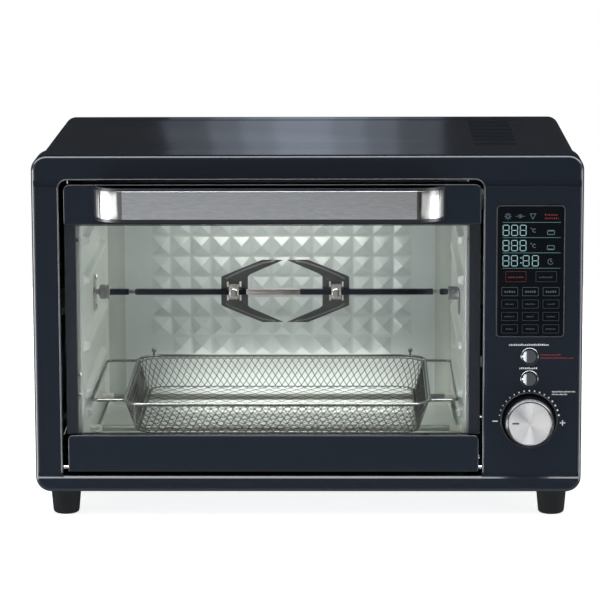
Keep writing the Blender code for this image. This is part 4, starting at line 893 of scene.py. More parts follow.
def back_sheet():
    """The back of the cavity, pressed with rows of low pyramids."""
    pitch_x, pitch_z, rise, gap = 0.0219, 0.0222, 0.0052, 0.0013
    columns, rows = 13, 8
    left = -0.0322 - columns * pitch_x / 2
    bottom = 0.1056
    xs = [CAVITY_LEFT + 0.018] + [left + i * pitch_x for i in range(columns + 1)] + [CAVITY_RIGHT - 0.018]
    zs = [FLOOR_Z + 0.0003] + [bottom + i * pitch_z for i in range(rows + 1)] + [ROOF_Z - 0.0003]
    y = CAVITY_BACK - 0.0001
    bm = bmesh.new()
    grid = [[bm.verts.new((x, y, z)) for x in xs] for z in zs]
    cells = []
    for row in range(len(zs) - 1):
        for column in range(len(xs) - 1):
            face = bm.faces.new((grid[row][column], grid[row][column + 1], grid[row + 1][column + 1],
                                 grid[row + 1][column]))
            inside = 1 <= row <= rows and 1 <= column <= columns
            if inside and not (row == 1 and column in (1, columns)):
                cells.append(face)
    bm.normal_update()
    bmesh.ops.inset_individual(bm, faces=cells, thickness=gap, use_even_offset=True)
    bmesh.ops.poke(bm, faces=cells, offset=rise)
    bm.normal_update()
    ridges = [e for e in bm.edges if len(e.link_faces) == 2 and e.calc_face_angle(0) > math.radians(8)]
    bmesh.ops.bevel(bm, geom=ridges, offset=0.0006, segments=2, profile=0.5, affect="EDGES",
                    clamp_overlap=True)
    mesh = bpy.data.meshes.new("back_sheet")
    bm.to_mesh(mesh)
    bm.free()
    obj = bpy.data.objects.new("back_sheet", mesh)
    bpy.context.scene.collection.objects.link(obj)
    thicken(obj, SHEET * 0.8)
    show(obj, back_liner, "casing", "cavity_back", 12)


def tray():
    """Crumb tray: a shallow pan with round corners and a softened rim."""
    low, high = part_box("crumb_tray")
    outer = rounded_outline(low.x, high.x, low.y, high.y, 0.006, 0.006, 6)
    obj = prism("tray_pan", outer, "XY", low.z, high.z)
    inner = rounded_outline(low.x + 0.001, high.x - 0.001, low.y + 0.001, high.y - 0.001, 0.005, 0.005, 6)
    boolean(obj, prism("hollow", inner, "XY", low.z + SHEET, high.z + 0.01))
    soften(obj, 0.0003, 2, on_plane(2, high.z))
    show(obj, liner, "tray", "crumb_tray", 30, True)


def heaters():
    """Rod heaters with a ceramic bush at each end."""
    for node in ("heater_upper_front", "heater_upper_rear", "heater_lower_front", "heater_lower_rear"):
        low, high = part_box(node)
        centre = (low + high) / 2
        half = (high.x - low.x) / 2
        bm = bmesh.new()
        rod = [(0, half - 0.015), (0.0030, half - 0.015), (0.0032, half - 0.0155), (0.0032, 0.0155 - half),
               (0.0030, 0.015 - half), (0, 0.015 - half)]
        lathe(bm, rod, centre, "X", 28)
        show(object_of(node + "_rod", bm), sheath, "casing", node)
        bm = bmesh.new()
        for axis in ("X", "-X"):
            cap = [(0, half), (0.0034, half), (0.0039, half - 0.0005), (0.0039, half - 0.0100),
                   (0.0034, half - 0.0106), (0.0034, half - 0.0136), (0.0040, half - 0.0142),
                   (0.0040, half - 0.0194), (0.0036, half - 0.0200), (0.0033, half - 0.0200),
                   (0, half - 0.0146)]
            lathe(bm, cap, centre, axis, 28)
        show(object_of(node + "_bushes", bm), ceramic, "casing")


def lamp():
    """The lamp's domed glass."""
    low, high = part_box("lamp_lens")
    y, z = (low.y + high.y) / 2, (low.z + high.z) / 2
    x = high.x + 0.0003
    dome = [(0, 0.0072)] + [(0.0157 * math.sin(math.pi / 2 * i / 10),
                             0.0004 + 0.0068 * math.cos(math.pi / 2 * i / 10))
                            for i in range(1, 11)] + [(0, 0.0004)]
    show(turned("lamp_dome", dome, (x, y, z), "-X", 48), lens, "casing", "lamp_lens")


# ---------------------------------------------------------------- spit

SPIT_LOW, SPIT_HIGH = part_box("spit_rod")
SPIT_Y, SPIT_Z = (SPIT_LOW.y + SPIT_HIGH.y) / 2, (SPIT_LOW.z + SPIT_HIGH.z) / 2
ROD_NECKS = ((-0.1886, -0.1817), (0.1285, 0.1359))
ROD_BRIGHT = (-0.0660, -0.0100)  # a lighter, pinkish length of the rod between the forks
ROD_END = 0.1432


def spit():
    """Square rod with two turned necks and a round tip, and the drive socket."""
    half = 0.003
    (neck_1, neck_2), (neck_3, neck_4) = ROD_NECKS
    bright_start, bright_end = ROD_BRIGHT
    pieces = [(SPIT_LOW.x, neck_1), (neck_2, bright_start), ROD_BRIGHT, (bright_end, neck_3),
              (neck_4, ROD_END)]
    spans = [((x0, SPIT_Y - half, SPIT_Z - half), (x1, SPIT_Y + half, SPIT_Z + half)) for x0, x1 in pieces]
    rod = boxes("rod_bar", spans)
    soften(rod, 0.0005, 3, sharp)
    with editing(rod) as bm:
        for x0, x1 in ((-0.1892, -0.1811), (0.1279, 0.1365)):
            length = x1 - x0
            neck = [(0, length), (0.0022, length), (0.0022, length - 0.0012), (0.0019, length - 0.0020),
                    (0.0019, 0.0020), (0.0022, 0.0012), (0.0022, 0), (0, 0)]
            lathe(bm, neck, (x0, SPIT_Y, SPIT_Z), "X", 24)
        tip_start = 0.1428
        tip_length = SPIT_HIGH.x - tip_start
        tip = [(0, tip_length), (0.0013, tip_length), (0.0021, tip_length - 0.0010), (0.0029, 0.0015),
               (0.0029, 0), (0, 0)]
        lathe(bm, tip, (tip_start, SPIT_Y, SPIT_Z), "X", 28)
    show(rod, [spit_steel, rod_bright, plated], "spit", "spit_rod", 28)
    for face in rod.data.polygons:
        x = face.center.x
        if bright_start <= x <= bright_end:
            face.material_index = 1
        elif neck_1 < x < neck_2 or neck_3 < x < neck_4:
            face.material_index = 2

    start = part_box("drive_socket")[0].x + 0.0018
    bm = bmesh.new()
    cup = [(0.0043, 0.0172), (0.0068, 0.0172), (0.0075, 0.0165), (0.0075, 0.0142), (0.0070, 0.0138),
           (0.0070, 0.0128), (0.0075, 0.0124), (0.0075, 0.0074), (0.0069, 0.0068), (0.0050, 0.0062),
           (0.0030, 0.0055), (0.0030, -0.0018), (0.0020, -0.0018), (0.0020, 0.0090), (0.0043, 0.0092)]
    lathe(bm, cup, (start, SPIT_Y, SPIT_Z), "X", 40)
    for i in range(20):
        a = 2 * math.pi * i / 20
        y, z = SPIT_Y + 0.0074 * math.cos(a), SPIT_Z + 0.0074 * math.sin(a)
        tube(bm, [(start + 0.0078, y, z), (start + 0.0120, y, z)], 0.00028, 6)
    show(object_of("socket_cup", bm), plated, "spit", "drive_socket")


def forks():
    """Stamped forks: a blade with a raised strap and pressed ribs, and a knurled thumb screw."""
    for node, sign in (("fork_left", 1), ("fork_right", -1)):
        low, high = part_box(node)
        base = low.x if sign > 0 else high.x
        half = [(0, 0.0150), (0.003, 0.0165), (0.020, 0.0236), (0.043, 0.0330), (0.0650, 0.0328),
                (0.0480, 0.0255), (0.0310, 0.0180), (0.0280, 0.0155)]
        outline = [(base + sign * u, SPIT_Z + v) for u, v in half]
        outline += [(base + sign * u, SPIT_Z - v) for u, v in reversed(half)]
        back = high.y
        thick = 0.0012
        blade = prism(node + "_blade", outline, "XZ", back - thick, back)
        centre_x = base + sign * 0.0135
        room = 0.0033
        strap_low = (centre_x - 0.005, SPIT_Y - room - thick, SPIT_Z - 0.0075)
        strap_high = (centre_x + 0.005, back - thick / 2, SPIT_Z + 0.0075)
        boolean(blade, boxes("strap", [(strap_low, strap_high)]), "UNION")
        spans = [((base - 0.04, SPIT_Y - room, SPIT_Z - room), (base + 0.04, back - thick, SPIT_Z + room))]
        for side in (-1, 1):
            x = centre_x + side * 0.0066
            for z in (-0.0100, 0.0042):
                spans.append(((x - 0.0009, back - 0.003, SPIT_Z + z),
                              (x + 0.0009, back + 0.003, SPIT_Z + z + 0.0058)))
        for span in spans:
            boolean(blade, boxes("slot", [span]))
        soften(blade, 0.0003, 2, sharp)
        with editing(blade) as bm:
            plain = len(bm.faces)
            for v_sign in (-1, 1):
                rib = [(0.0050, 0.0130), (0.0120, 0.0170), (0.0300, 0.0247), (0.0440, 0.0297),
                       (0.0560, 0.0316)]
                path = [(base + sign * u, back - thick - 0.0001, SPIT_Z + v_sign * v) for u, v in rib]
                tube(bm, path, 0.0009, 8)
        show(blade, [fork_steel, clamp_steel, rib_highlight_steel], "spit", node, 28)
        # Painted highlight: the ribs take the lighter copy of the blade's steel.
        for face in blade.data.polygons:
            if face.index >= plain:
                face.material_index = 2
            elif face.center.y < back - thick - 0.0003:
                face.material_index = 1

        screw = middle_of("fork_screw_left" if sign > 0 else "fork_screw_right")
        bm = bmesh.new()
        origin = (screw.x, SPIT_Y - 0.003, SPIT_Z)
        head = [(0, 0.0089), (0.0030, 0.0090), (0.0042, 0.0087), (0.0047, 0.0080), (0.0047, 0.0034),
                (0.0040, 0.0026), (0.0022, 0.0022), (0.0020, 0.0018), (0.0020, 0.0003), (0, 0.0003)]
        lathe(bm, head, origin, "-Y", 32)
        for i in range(24):
            a = 2 * math.pi * i / 24
            x, z = origin[0] + 0.0046 * math.cos(a), origin[2] + 0.0046 * math.sin(a)
            tube(bm, [(x, origin[1] - 0.0037, z), (x, origin[1] - 0.0078, z)], 0.00032, 6)
        show(object_of(node + "_thumbscrew", bm), chrome, "spit",
             "fork_screw_left" if sign > 0 else "fork_screw_right")


def spit_mounts():
    """Flange plate round the socket, and the cradle that carries the far end."""
    low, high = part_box("socket_flange")
    y, z = SPIT_Y, SPIT_Z
    outline = (arc((y, z + 0.016), 0.005, 20, 160, 10) + arc((y, z), 0.0125, 140, 220, 10)
               + arc((y, z - 0.016), 0.005, 200, 340, 10) + arc((y, z), 0.0125, -40, 40, 10))
    hole = arc((y, z), 0.0036, 0, 345, 23)
    plate = prism("flange_plate", outline, "YZ", low.x, low.x + 0.0019, [hole])
    soften(plate, 0.0005, 2, on_plane(0, low.x + 0.0019))
    with editing(plate) as bm:
        for dz in (-0.016, 0.016):
            screw_head(bm, (low.x + 0.0018, y, z + dz), "X", 0.0032, 0.0020)
    show(plate, stainless, "casing", "socket_flange", 28)
    low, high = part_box("spit_support")
    wall = high.x
    plate = boxes("cradle_plate", [((wall - 0.0015, y - 0.014, z - 0.022), (wall, y + 0.014, z + 0.002))])
    boolean(plate, boxes("block", [((low.x, y - 0.0065, z - 0.0075),
                                    (wall - 0.0010, y + 0.0065, z + 0.0045))]), "UNION")
    seat_start, seat_radius = 0.140, 0.0035
    boolean(plate, plug(seat_radius, 0, 0.0135, (seat_start, y, z), "X", 32))
    boolean(plate, boxes("mouth", [((seat_start, y - seat_radius, z), (0.1535, y + seat_radius, z + 0.01))]))
    soften(plate, 0.0004, 2, sharp)
    show(plate, wire_chrome, "casing", "spit_support", 28)


# ---------------------------------------------------------------- basket

RIM_LOW, RIM_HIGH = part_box("basket_frame")
BASKET_LOW, BASKET_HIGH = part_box("mesh_basket")
BASKET_LEFT, BASKET_RIGHT = -0.1865, 0.1228
BASKET_FRONT, BASKET_BACK = RIM_LOW.y + 0.0017, RIM_HIGH.y - 0.0017
BASKET_TOP, BASKET_BOTTOM = BASKET_HIGH.z + 0.002, BASKET_LOW.z
CORNER = 0.025
MESH_PITCH = 0.0074
MESH_SLOPE = 0.72                # run along the wall for each unit of drop


def basket_point(s, inset, height, corner):
    """A point of the basket's outline: s runs along the rim in metres, drawn in by an inset."""
    width, depth = BASKET_RIGHT - BASKET_LEFT, BASKET_BACK - BASKET_FRONT
    sides = [width - 2 * CORNER, math.pi / 2 * CORNER, depth - 2 * CORNER, math.pi / 2 * CORNER] * 2
    s %= sum(sides)
    k = 0
    while s > sides[k]:
        s -= sides[k]
        k += 1
    t = s / sides[k]
    left, right = BASKET_LEFT + inset, BASKET_RIGHT - inset
    front, back = BASKET_FRONT + inset, BASKET_BACK - inset
    centres = [(right - corner, front + corner), (right - corner, back - corner),
               (left + corner, back - corner), (left + corner, front + corner)]
    side, is_arc = k // 2, k % 2
    start_angle = -90 + 90 * side
    if is_arc:
        cx, cy = centres[side]
        a = math.radians(start_angle + 90 * t)
        return Vector((cx + corner * math.cos(a), cy + corner * math.sin(a), height))
    a = math.radians(start_angle)
    c0, c1 = Vector(centres[side - 1]), Vector(centres[side])
    spot = c0.lerp(c1, t)
    return Vector((spot.x + corner * math.cos(a), spot.y + corner * math.sin(a), height))


def rim_length():
    """Length of the basket's rim."""
    width, depth = BASKET_RIGHT - BASKET_LEFT, BASKET_BACK - BASKET_FRONT
    return 2 * (width + depth) - 8 * CORNER + 2 * math.pi * CORNER


FILLET = 0.006


def wall_section(t):
    """Inset, height and corner radius down the basket's wall: straight, then round into the floor."""
    fall = BASKET_TOP - BASKET_BOTTOM - FILLET
    straight = fall / (fall + FILLET * math.pi / 2)
    if t < straight:
        u = t / straight
        return 0.0006 + 0.0085 * u, BASKET_TOP - fall * u, CORNER - 0.001 - 0.001 * u
    a = (t - straight) / (1 - straight) * math.pi / 2
    inward = FILLET * (1 - math.cos(a))
    return 0.0091 + inward, BASKET_BOTTOM + FILLET * (1 - math.sin(a)), CORNER - 0.002 - inward


def clip_to_floor(p, q, radius):
    """The part of a line that lies over the basket's floor, a rectangle with round corners."""
    low = Vector((BASKET_LEFT + 0.0151, BASKET_FRONT + 0.0151))
    high = Vector((BASKET_RIGHT - 0.0151, BASKET_BACK - 0.0151))
    centres = [(x, y) for x in (low.x + radius, high.x - radius) for y in (low.y + radius, high.y - radius)]

    def inside(v):
        if not (low.x <= v.x <= high.x and low.y <= v.y <= high.y):
            return False
        for cx, cy in centres:
            in_corner = ((v.x < cx) == (cx < (low.x + high.x) / 2)
                         and (v.y < cy) == (cy < (low.y + high.y) / 2))
            if in_corner and (v - Vector((cx, cy))).length > radius:
                return False
        return True

    steps = 400
    good = [p.lerp(q, i / steps) for i in range(steps + 1) if inside(p.lerp(q, i / steps))]
    return (good[0], good[-1]) if len(good) > 4 else None


def basket():
    """Slanted wires down the walls and over the floor, then the rim, wings and posts."""
    length = rim_length()
    count = round(length / MESH_PITCH)
    pitch = length / count
    wall_length = 0.036
    bm = bmesh.new()
    steps = 12
    for family in (-1, 1):
        offset = 0.00022 * family
        for i in range(count):
            path = []
            for k in range(steps + 1):
                t = k / steps
                inset, height, corner = wall_section(t)
                s = i * pitch + family * MESH_SLOPE * wall_length * t
                path.append(basket_point(s, inset + offset, height, corner))
            tube(bm, path, 0.00038, 6)
    half_w = (BASKET_RIGHT - BASKET_LEFT) / 2
    half_d = (BASKET_BACK - BASKET_FRONT) / 2
    centre = Vector(((BASKET_RIGHT + BASKET_LEFT) / 2, (BASKET_BACK + BASKET_FRONT) / 2))
    reach = half_w + half_d * MESH_SLOPE
    lines = int(2 * reach / pitch) + 2
    for family in (-1, 1):
        for i in range(0, lines, 2):
            x = centre.x - reach + i * pitch
            run = half_d * MESH_SLOPE
            p = Vector((x - family * run, centre.y - half_d))
            q = Vector((x + family * run, centre.y + half_d))
            found = clip_to_floor(p, q, 0.017)
            if found:
                z = BASKET_BOTTOM + 0.0004 + 0.00022 * family
                tube(bm, [(*found[0], z), (*found[1], z)], 0.00028, 6)
    show(object_of("basket_weave", bm), mesh_wire, "basket", "mesh_basket", 60)

    bm = bmesh.new()
    rim_z = BASKET_TOP
    rim = [basket_point(length * i / 200, 0, rim_z, CORNER) for i in range(200)]
    tube(bm, rim, 0.0015, 14, closed=True)
    inner = [basket_point(length * i / 160, 0.0028, rim_z - 0.0022, CORNER) for i in range(160)]
    tube(bm, inner, 0.0006, 8, closed=True)
    floor_ring = [basket_point(length * i / 160, 0.0130, BASKET_BOTTOM + 0.0012, 0.019) for i in range(160)]
    tube(bm, floor_ring, 0.00045, 8, closed=True)
    wing_z, bend, front, back = 0.1108, 0.006, at(0.0505), at(0.264)
    for side in (-1, 1):
        reach_x = RIM_LOW.x + 0.0023 if side < 0 else RIM_HIGH.x - 0.0023
        root = BASKET_LEFT if side < 0 else BASKET_RIGHT
        inside = reach_x - side * bend
        first, second = (270, 180) if side < 0 else (-90, 0)
        path = [(root, front)] + arc((inside, front + bend), bend, first, second, 8)
        path += arc((inside, back - bend), bend, second, 90, 8) + [(root, back)]
        tube(bm, [(x, y, wing_z) for x, y in path], 0.0015, 14)
        for y in (front, back):
            ball(bm, (root - side * 0.0002, y, wing_z + 0.0002), 0.0026, 16, 0.85)
    for x in (BASKET_LEFT + 0.0155, BASKET_RIGHT - 0.0155):
        spot = Vector((x, BASKET_BACK - 0.0025, rim_z))
        tube(bm, [spot, spot + Vector((0, 0, 0.0060))], 0.0011, 10)
        ball(bm, spot + Vector((0, 0, 0.0064)), 0.0026, 20)
    show(object_of("basket_wires", bm), wire_chrome, "basket", "basket_frame", 60)


# ---------------------------------------------------------------- control panel

PRINT = 0.00006                  # thickness of ink and of lit segments


def flat_shape(bm, outline, y, thickness=PRINT):
    """A thin printed shape on the panel, from an outline in X and Z."""
    front = [bm.verts.new((x, y, z)) for x, z in outline]
    back = [bm.verts.new((x, y + thickness, z)) for x, z in outline]
    bm.faces.new(front)
    bm.faces.new(back[::-1])
    band(bm, back, front)


def flat_box(bm, x0, x1, z0, z1, y):
    """A thin printed rectangle."""
    flat_shape(bm, [(x0, z0), (x1, z0), (x1, z1), (x0, z1)], y)


def outline_ring(bm, outer, inner, y):
    """A thin closed band between two outlines of equally many points."""
    rows = [[bm.verts.new((x, depth, z)) for x, z in edge]
            for depth in (y, y + PRINT) for edge in (outer, inner)]
    for first, second in ((0, 1), (3, 2), (2, 0), (1, 3)):
        band(bm, rows[first], rows[second])


def key_outline(bm, x0, x1, z0, z1, y, line=0.00030, radius=0.0008):
    """The printed border of a touch key."""
    outer = rounded_outline(x0, x1, z0, z1, radius, radius, 3)
    inner = rounded_outline(x0 + line, x1 - line, z0 + line, z1 - line, radius - line / 2, radius - line / 2,
                            3)
    outline_ring(bm, outer, inner, y)


def seven_segments(bm, x, z, width, height, y, line=0.00054):
    """One figure 8 of seven separate lit bars."""
    slant, gap = line / 2, 0.00034
    half = height / 2

    def bar(x0, z0, x1, z1):
        across = x1 - x0 > abs(z1 - z0)
        if across:
            x0, x1 = x0 + gap, x1 - gap
            points = [(x0, z0), (x0 + slant, z0 - slant), (x1 - slant, z0 - slant), (x1, z0),
                      (x1 - slant, z0 + slant), (x0 + slant, z0 + slant)]
        else:
            z0, z1 = z0 + gap, z1 - gap
            points = [(x0, z0), (x0 + slant, z0 + slant), (x0 + slant, z1 - slant), (x0, z1),
                      (x0 - slant, z1 - slant), (x0 - slant, z0 + slant)]
        flat_shape(bm, points, y)

    inner = line / 2
    xl, xr = x + inner, x + width - inner
    zb, zt = z + inner, z + height - inner
    zm = z + half
    for level in (zb, zm, zt):
        bar(xl, level, xr, level)
    for column in (xl, xr):
        bar(column, zb, column, zm)
        bar(column, zm, column, zt)


def word_blocks(bm, x, z, length, height, y, seed):
    """A row of small blocks where a printed word would be."""
    rng = random.Random(seed)
    end = x + length
    while x < end - height * 0.3:
        width = min(height * rng.uniform(0.42, 0.62), end - x)
        flat_box(bm, x, x + width, z, z + height * rng.uniform(0.60, 1.0), y)
        x += width + height * 0.40


def display():
    """The pane and its rim, then rules, figures, icons and touch keys behind the glass."""
    low, high = WINDOW_LOW, WINDOW_HIGH
    face = low.y
    outer = rounded_outline(low.x, high.x, low.z, high.z, 0.004, 0.004, 10)
    pane = prism("display_pane", outer, "XZ", face + 0.0002, high.y)
    show(pane, display_black, "casing", "display_window", 28, True)
    rim_inner = rounded_outline(low.x + 0.0012, high.x - 0.0012, low.z + 0.0012, high.z - 0.0012, 0.0030,
                                0.0030, 10)
    rim = prism("display_border", outer, "XZ", face + 0.0001, face + 0.0006, [rim_inner])
    soften(rim, 0.00035, 3, on_plane(1, face + 0.0001))
    show(rim, display_rim, "casing", angle=28)

    y = face + 0.00013
    w, h = high.x - low.x, high.z - low.z

    def px(u):
        return low.x + u * w

    def pz(v):
        return high.z - v * h

    lines = bmesh.new()
    for v in (0.128, 0.243, 0.358, 0.474):
        flat_box(lines, px(0.088), px(0.932), pz(v) - 0.00022, pz(v) + 0.00022, y)
    show(object_of("display_rules", lines), line_glow, "casing")

    digits = bmesh.new()
    digit_w, digit_h = w * 0.094, h * 0.082
    for row, v in enumerate((0.229, 0.344, 0.459)):
        starts = (0.092, 0.216, 0.340) if row < 2 else (0.092, 0.216, 0.386, 0.520)
        for u in starts:
            seven_segments(digits, px(u), pz(v), digit_w, digit_h, y)
    for v in (0.400, 0.437):
        flat_box(digits, px(0.352), px(0.366), pz(v), pz(v) + 0.0010, y)
    show(object_of("display_digits", digits), digits_glow, "casing")

    icons = bmesh.new()
    cx, cz = px(0.165), pz(0.082)
    for k in range(8):
        a = math.pi * k / 4
        tip = (cx + 0.0034 * math.cos(a), cz + 0.0034 * math.sin(a))
        root = (cx + 0.0011 * math.cos(a), cz + 0.0011 * math.sin(a))
        side = (-0.00030 * math.sin(a), 0.00030 * math.cos(a))
        flat_shape(icons, [(root[0] - side[0], root[1] - side[1]), (tip[0] - side[0], tip[1] - side[1]),
                           (tip[0] + side[0], tip[1] + side[1]), (root[0] + side[0], root[1] + side[1])], y)
    cx = px(0.345)
    outline_ring(icons, arc((cx, cz), 0.0019, 0, 345, 23), arc((cx, cz), 0.0014, 0, 345, 23), y)
    flat_shape(icons, arc((cx, cz), 0.0007, 0, 330, 11), y)
    for sign in (-1, 1):
        x0, x1 = sorted((cx + sign * 0.0026, cx + sign * 0.0046))
        flat_box(icons, x0, x1, cz - 0.00022, cz + 0.00022, y)
    cx = px(0.528)
    outline_ring(icons, [(cx - 0.0032, cz + 0.0026), (cx + 0.0032, cz + 0.0026), (cx, cz - 0.0032)][::-1],
                 [(cx - 0.0023, cz + 0.0021), (cx + 0.0023, cz + 0.0021), (cx, cz - 0.0023)][::-1], y)
    for v in (0.196, 0.311):
        cx, cz = px(0.505), pz(v) + 0.0030
        outline_ring(icons, arc((cx, cz), 0.00075, 0, 330, 11), arc((cx, cz), 0.00040, 0, 330, 11), y)
        cup = arc((cx + 0.0032, cz - 0.0022), 0.0020, 50, 310, 12)
        core = arc((cx + 0.0032, cz - 0.0022), 0.0014, 310, 50, 12)
        flat_shape(icons, cup + core, y)
        x0, x1 = px(0.735), px(0.845)
        key_outline(icons, x0, x1, pz(v + 0.026), pz(v - 0.010), y, 0.0006, 0.0012)
        bar = pz(v - 0.003) if v < 0.25 else pz(v + 0.019)
        flat_box(icons, x0 + 0.0014, x1 - 0.0014, bar - 0.0004, bar + 0.0004, y)
    cx, cz = px(0.79), pz(0.424)
    flat_shape(icons, arc((cx, cz), 0.0030, 60, 330, 16) + arc((cx, cz), 0.0025, 330, 60, 16), y)
    flat_box(icons, cx - 0.0003, cx + 0.0003, cz, cz + 0.0018, y)
    flat_box(icons, cx, cx + 0.0016, cz - 0.0003, cz + 0.0003, y)
    show(object_of("display_icons", icons), icon_glow, "casing")

    keys, red = bmesh.new(), bmesh.new()
    key_outline(red, px(0.135), px(0.435), pz(0.578), pz(0.498), y)
    word_blocks(red, px(0.175), pz(0.548), w * 0.22, 0.0017, y, 1)
    word_blocks(red, px(0.700), pz(0.078), w * 0.20, 0.0020, y, 2)
    word_blocks(red, px(0.700), pz(0.104), w * 0.20, 0.0020, y, 3)
    key_outline(keys, px(0.575), px(0.880), pz(0.578), pz(0.498), y)
    word_blocks(keys, px(0.620), pz(0.548), w * 0.20, 0.0017, y, 4)
    bright = bmesh.new()
    for row in range(4):
        top = 0.618 + row * 0.0945
        for column in range(3):
            u = 0.080 + column * 0.301
            target = bright if row == 0 else keys
            key_outline(target, px(u), px(u + 0.238), pz(top + 0.066), pz(top), y)
            size = 0.0024 if row == 0 else 0.0016
            length = w * (0.150 if row == 0 else 0.105 + 0.02 * ((row + column) % 3))
            middle = px(u + 0.119)
            word_blocks(target, middle - length / 2, pz(top + 0.033) - size / 2, length, size, y,
                        10 + row * 3 + column)
    show(object_of("display_keys", keys), key_glow, "casing")
    show(object_of("display_keys_lit", bright), lit_key_glow, "casing")
    show(object_of("display_red", red), red_glow, "casing")


def controls():
    """Buttons with their rings, the knob, and the marks printed round them."""
    for place, node, body in RING_PLACES:
        centre = middle_of(node)
        origin = (centre.x, FRONT, centre.z)
        ring = [(0.0075, 0.0004), (0.0076, 0.0008), (0.0078, 0.0010), (0.0084, 0.0010), (0.0087, 0.0007),
                (0.0088, 0.0002), (0.0087, -0.0028), (0.0076, -0.0028)]
        show(turned("ring_" + place, ring, origin, "-Y", 64), ring_chrome, "casing", "button_ring_" + place)
        dome = [(0, 0.0024)] + [(0.0011 * i,
                                 0.0024 - 0.0225 * (1 - math.sqrt(1 - (0.0011 * i / 0.0225) ** 2)))
                                for i in range(1, 7)]
        dome += [(0.0070, 0.0009), (0.0072, 0.0002), (0.0072, -0.0050), (0.0030, -0.0050), (0.0030, -0.0112),
                 (0, -0.0112)]
        key = turned(node + "_dome", dome, origin, "-Y", 64)
        for vert in key.data.vertices:
            across = vert.co.x - origin[0]
            if vert.co.y < FRONT - 0.0012:
                bend = min(0, across + 0.0012)
                vert.co.y = FRONT - 0.0024 + 60 * bend * bend
        show(key, button_face, body, node, 50)

    origin = (KNOB_X, FRONT, KNOB_Z)
    skirt = [(0.0214, 0.0163), (0.0216, 0.0165), (0.0221, 0.0167), (0.0226, 0.0165), (0.0240, 0.0150),
             (0.0244, 0.0144), (0.0245, 0.0136), (0.0245, 0.0010), (0.0243, 0.0003), (0.0225, 0.0003),
             (0.0225, 0.0118), (0.0070, 0.0118), (0.0070, 0.0003), (0.0033, 0.0003), (0.0033, 0.0118),
             (0.0214, 0.0157)]
    bm = bmesh.new()
    lathe(bm, skirt, origin, "-Y", 96)
    for i in range(60):
        a = 2 * math.pi * i / 60
        x, z = origin[0] + 0.02445 * math.cos(a), origin[2] + 0.02445 * math.sin(a)
        tube(bm, [(x, FRONT - 0.0010, z), (x, FRONT - 0.0130, z)], 0.00022, 5)
    show(object_of("knob_skirt", bm), knob_black, "selector", "selector_knob")
    bezel = [(0.0213, 0.01650), (0.0217, 0.01690), (0.0224, 0.01690), (0.0241, 0.01515), (0.0243, 0.0147),
             (0.0240, 0.0147), (0.0222, 0.0163), (0.0213, 0.0163)]
    show(turned("knob_bezel", bezel, origin, "-Y", 96), knob_ring, "selector")
    knob_face = turned_grain_and_painted_sectors("knob_face", (0.96, 0.97, 1.0), 0.36, (0, 0, 0), "Y")
    bm = bmesh.new()
    face = [(0, 0.01640), (0.0060, 0.01642), (0.0140, 0.01650), (0.0200, 0.01665), (0.0209, 0.01660),
            (0.02115, 0.0162), (0.02115, 0.0161), (0, 0.0161)]
    lathe(bm, face, (0, 0, 0), "-Y", 96)
    obj = object_of("knob_disc", bm)
    obj.location = origin
    show(obj, knob_face, "selector", "knob_cap", 40)
    bm = bmesh.new()
    bar = rounded_outline(KNOB_X - 0.0176, KNOB_X - 0.0106, KNOB_Z - 0.0008, KNOB_Z + 0.0008, 0.0007, 0.0007,
                          4)
    flat_shape(bm, bar, FRONT - 0.01672, 0.00012)
    show(object_of("knob_index", bm), index_grey, "selector")

    y = FRONT - 0.00004
    marks = bmesh.new()
    for i in range(17):
        a = math.radians(170.0 - i * 10)
        size = 0.00062 + 0.00040 * i / 16
        spot = (KNOB_X + 0.0300 * math.cos(a), KNOB_Z + 0.0300 * math.sin(a))
        flat_shape(marks, arc(spot, size, 0, 330, 11), y, 0.00004)
    flat_box(marks, KNOB_X - 0.0365, KNOB_X - 0.0312, KNOB_Z - 0.0014, KNOB_Z - 0.0004, y)
    flat_box(marks, KNOB_X + 0.0306, KNOB_X + 0.0360, KNOB_Z - 0.0032, KNOB_Z - 0.0022, y)
    flat_box(marks, KNOB_X + 0.0328, KNOB_X + 0.0338, KNOB_Z - 0.0054, KNOB_Z + 0.0000, y)
    upper, lower = middle_of("convection_button").z, middle_of("start_button").z
    word_blocks(marks, KNOB_X - 0.0205, upper + 0.0108, 0.0405, 0.0020, y, 31)
    word_blocks(marks, KNOB_X - 0.0100, lower + 0.0100, 0.0185, 0.0020, y, 32)
    word_blocks(marks, KNOB_X + 0.0225, lower - 0.0135, 0.0230, 0.0014, y, 33)
    word_blocks(marks, KNOB_X + 0.0225, lower - 0.0162, 0.0150, 0.0014, y, 34)
    show(object_of("panel_marks", marks), white_print, "casing")
    red = bmesh.new()
    word_blocks(red, KNOB_X + 0.0108, upper + 0.0010, 0.0200, 0.0012, y, 35)
    word_blocks(red, KNOB_X + 0.0108, upper - 0.0022, 0.0330, 0.0012, y, 36)
    show(object_of("panel_marks_red", red), red_print, "casing")


# ---------------------------------------------------------------- pieces that keep their CAD shape

def carried_over():
    """Hidden or plain nodes keep their CAD shape and get a finish."""
    dress("base_plate", sheet_coat)
    dress("cord_gland", satin_black, 40)
    dress("cavity_roof", liner)
    dress("cavity_floor", liner)
    dress("lamp_holder", ceramic, 40)
    dress("temperature_probe", stainless, 50)
    dress("rotisserie_motor", plated, 40)
    dress("fan_motor", plated, 40)
    dress("fan_housing", liner, 40)
    dress("convection_fan", aluminium, 40)
    for node in ("hinge_arm_left", "hinge_arm_right", "door_spring_left", "door_spring_right"):
        dress(node, oxide, 40)
    for node in ("encoder_shaft", "encoder_body"):
        dress(node, plated, 40)
    for node in ("control_board", "power_board"):
        dress(node, laminate)


# ---------------------------------------------------------------- stage

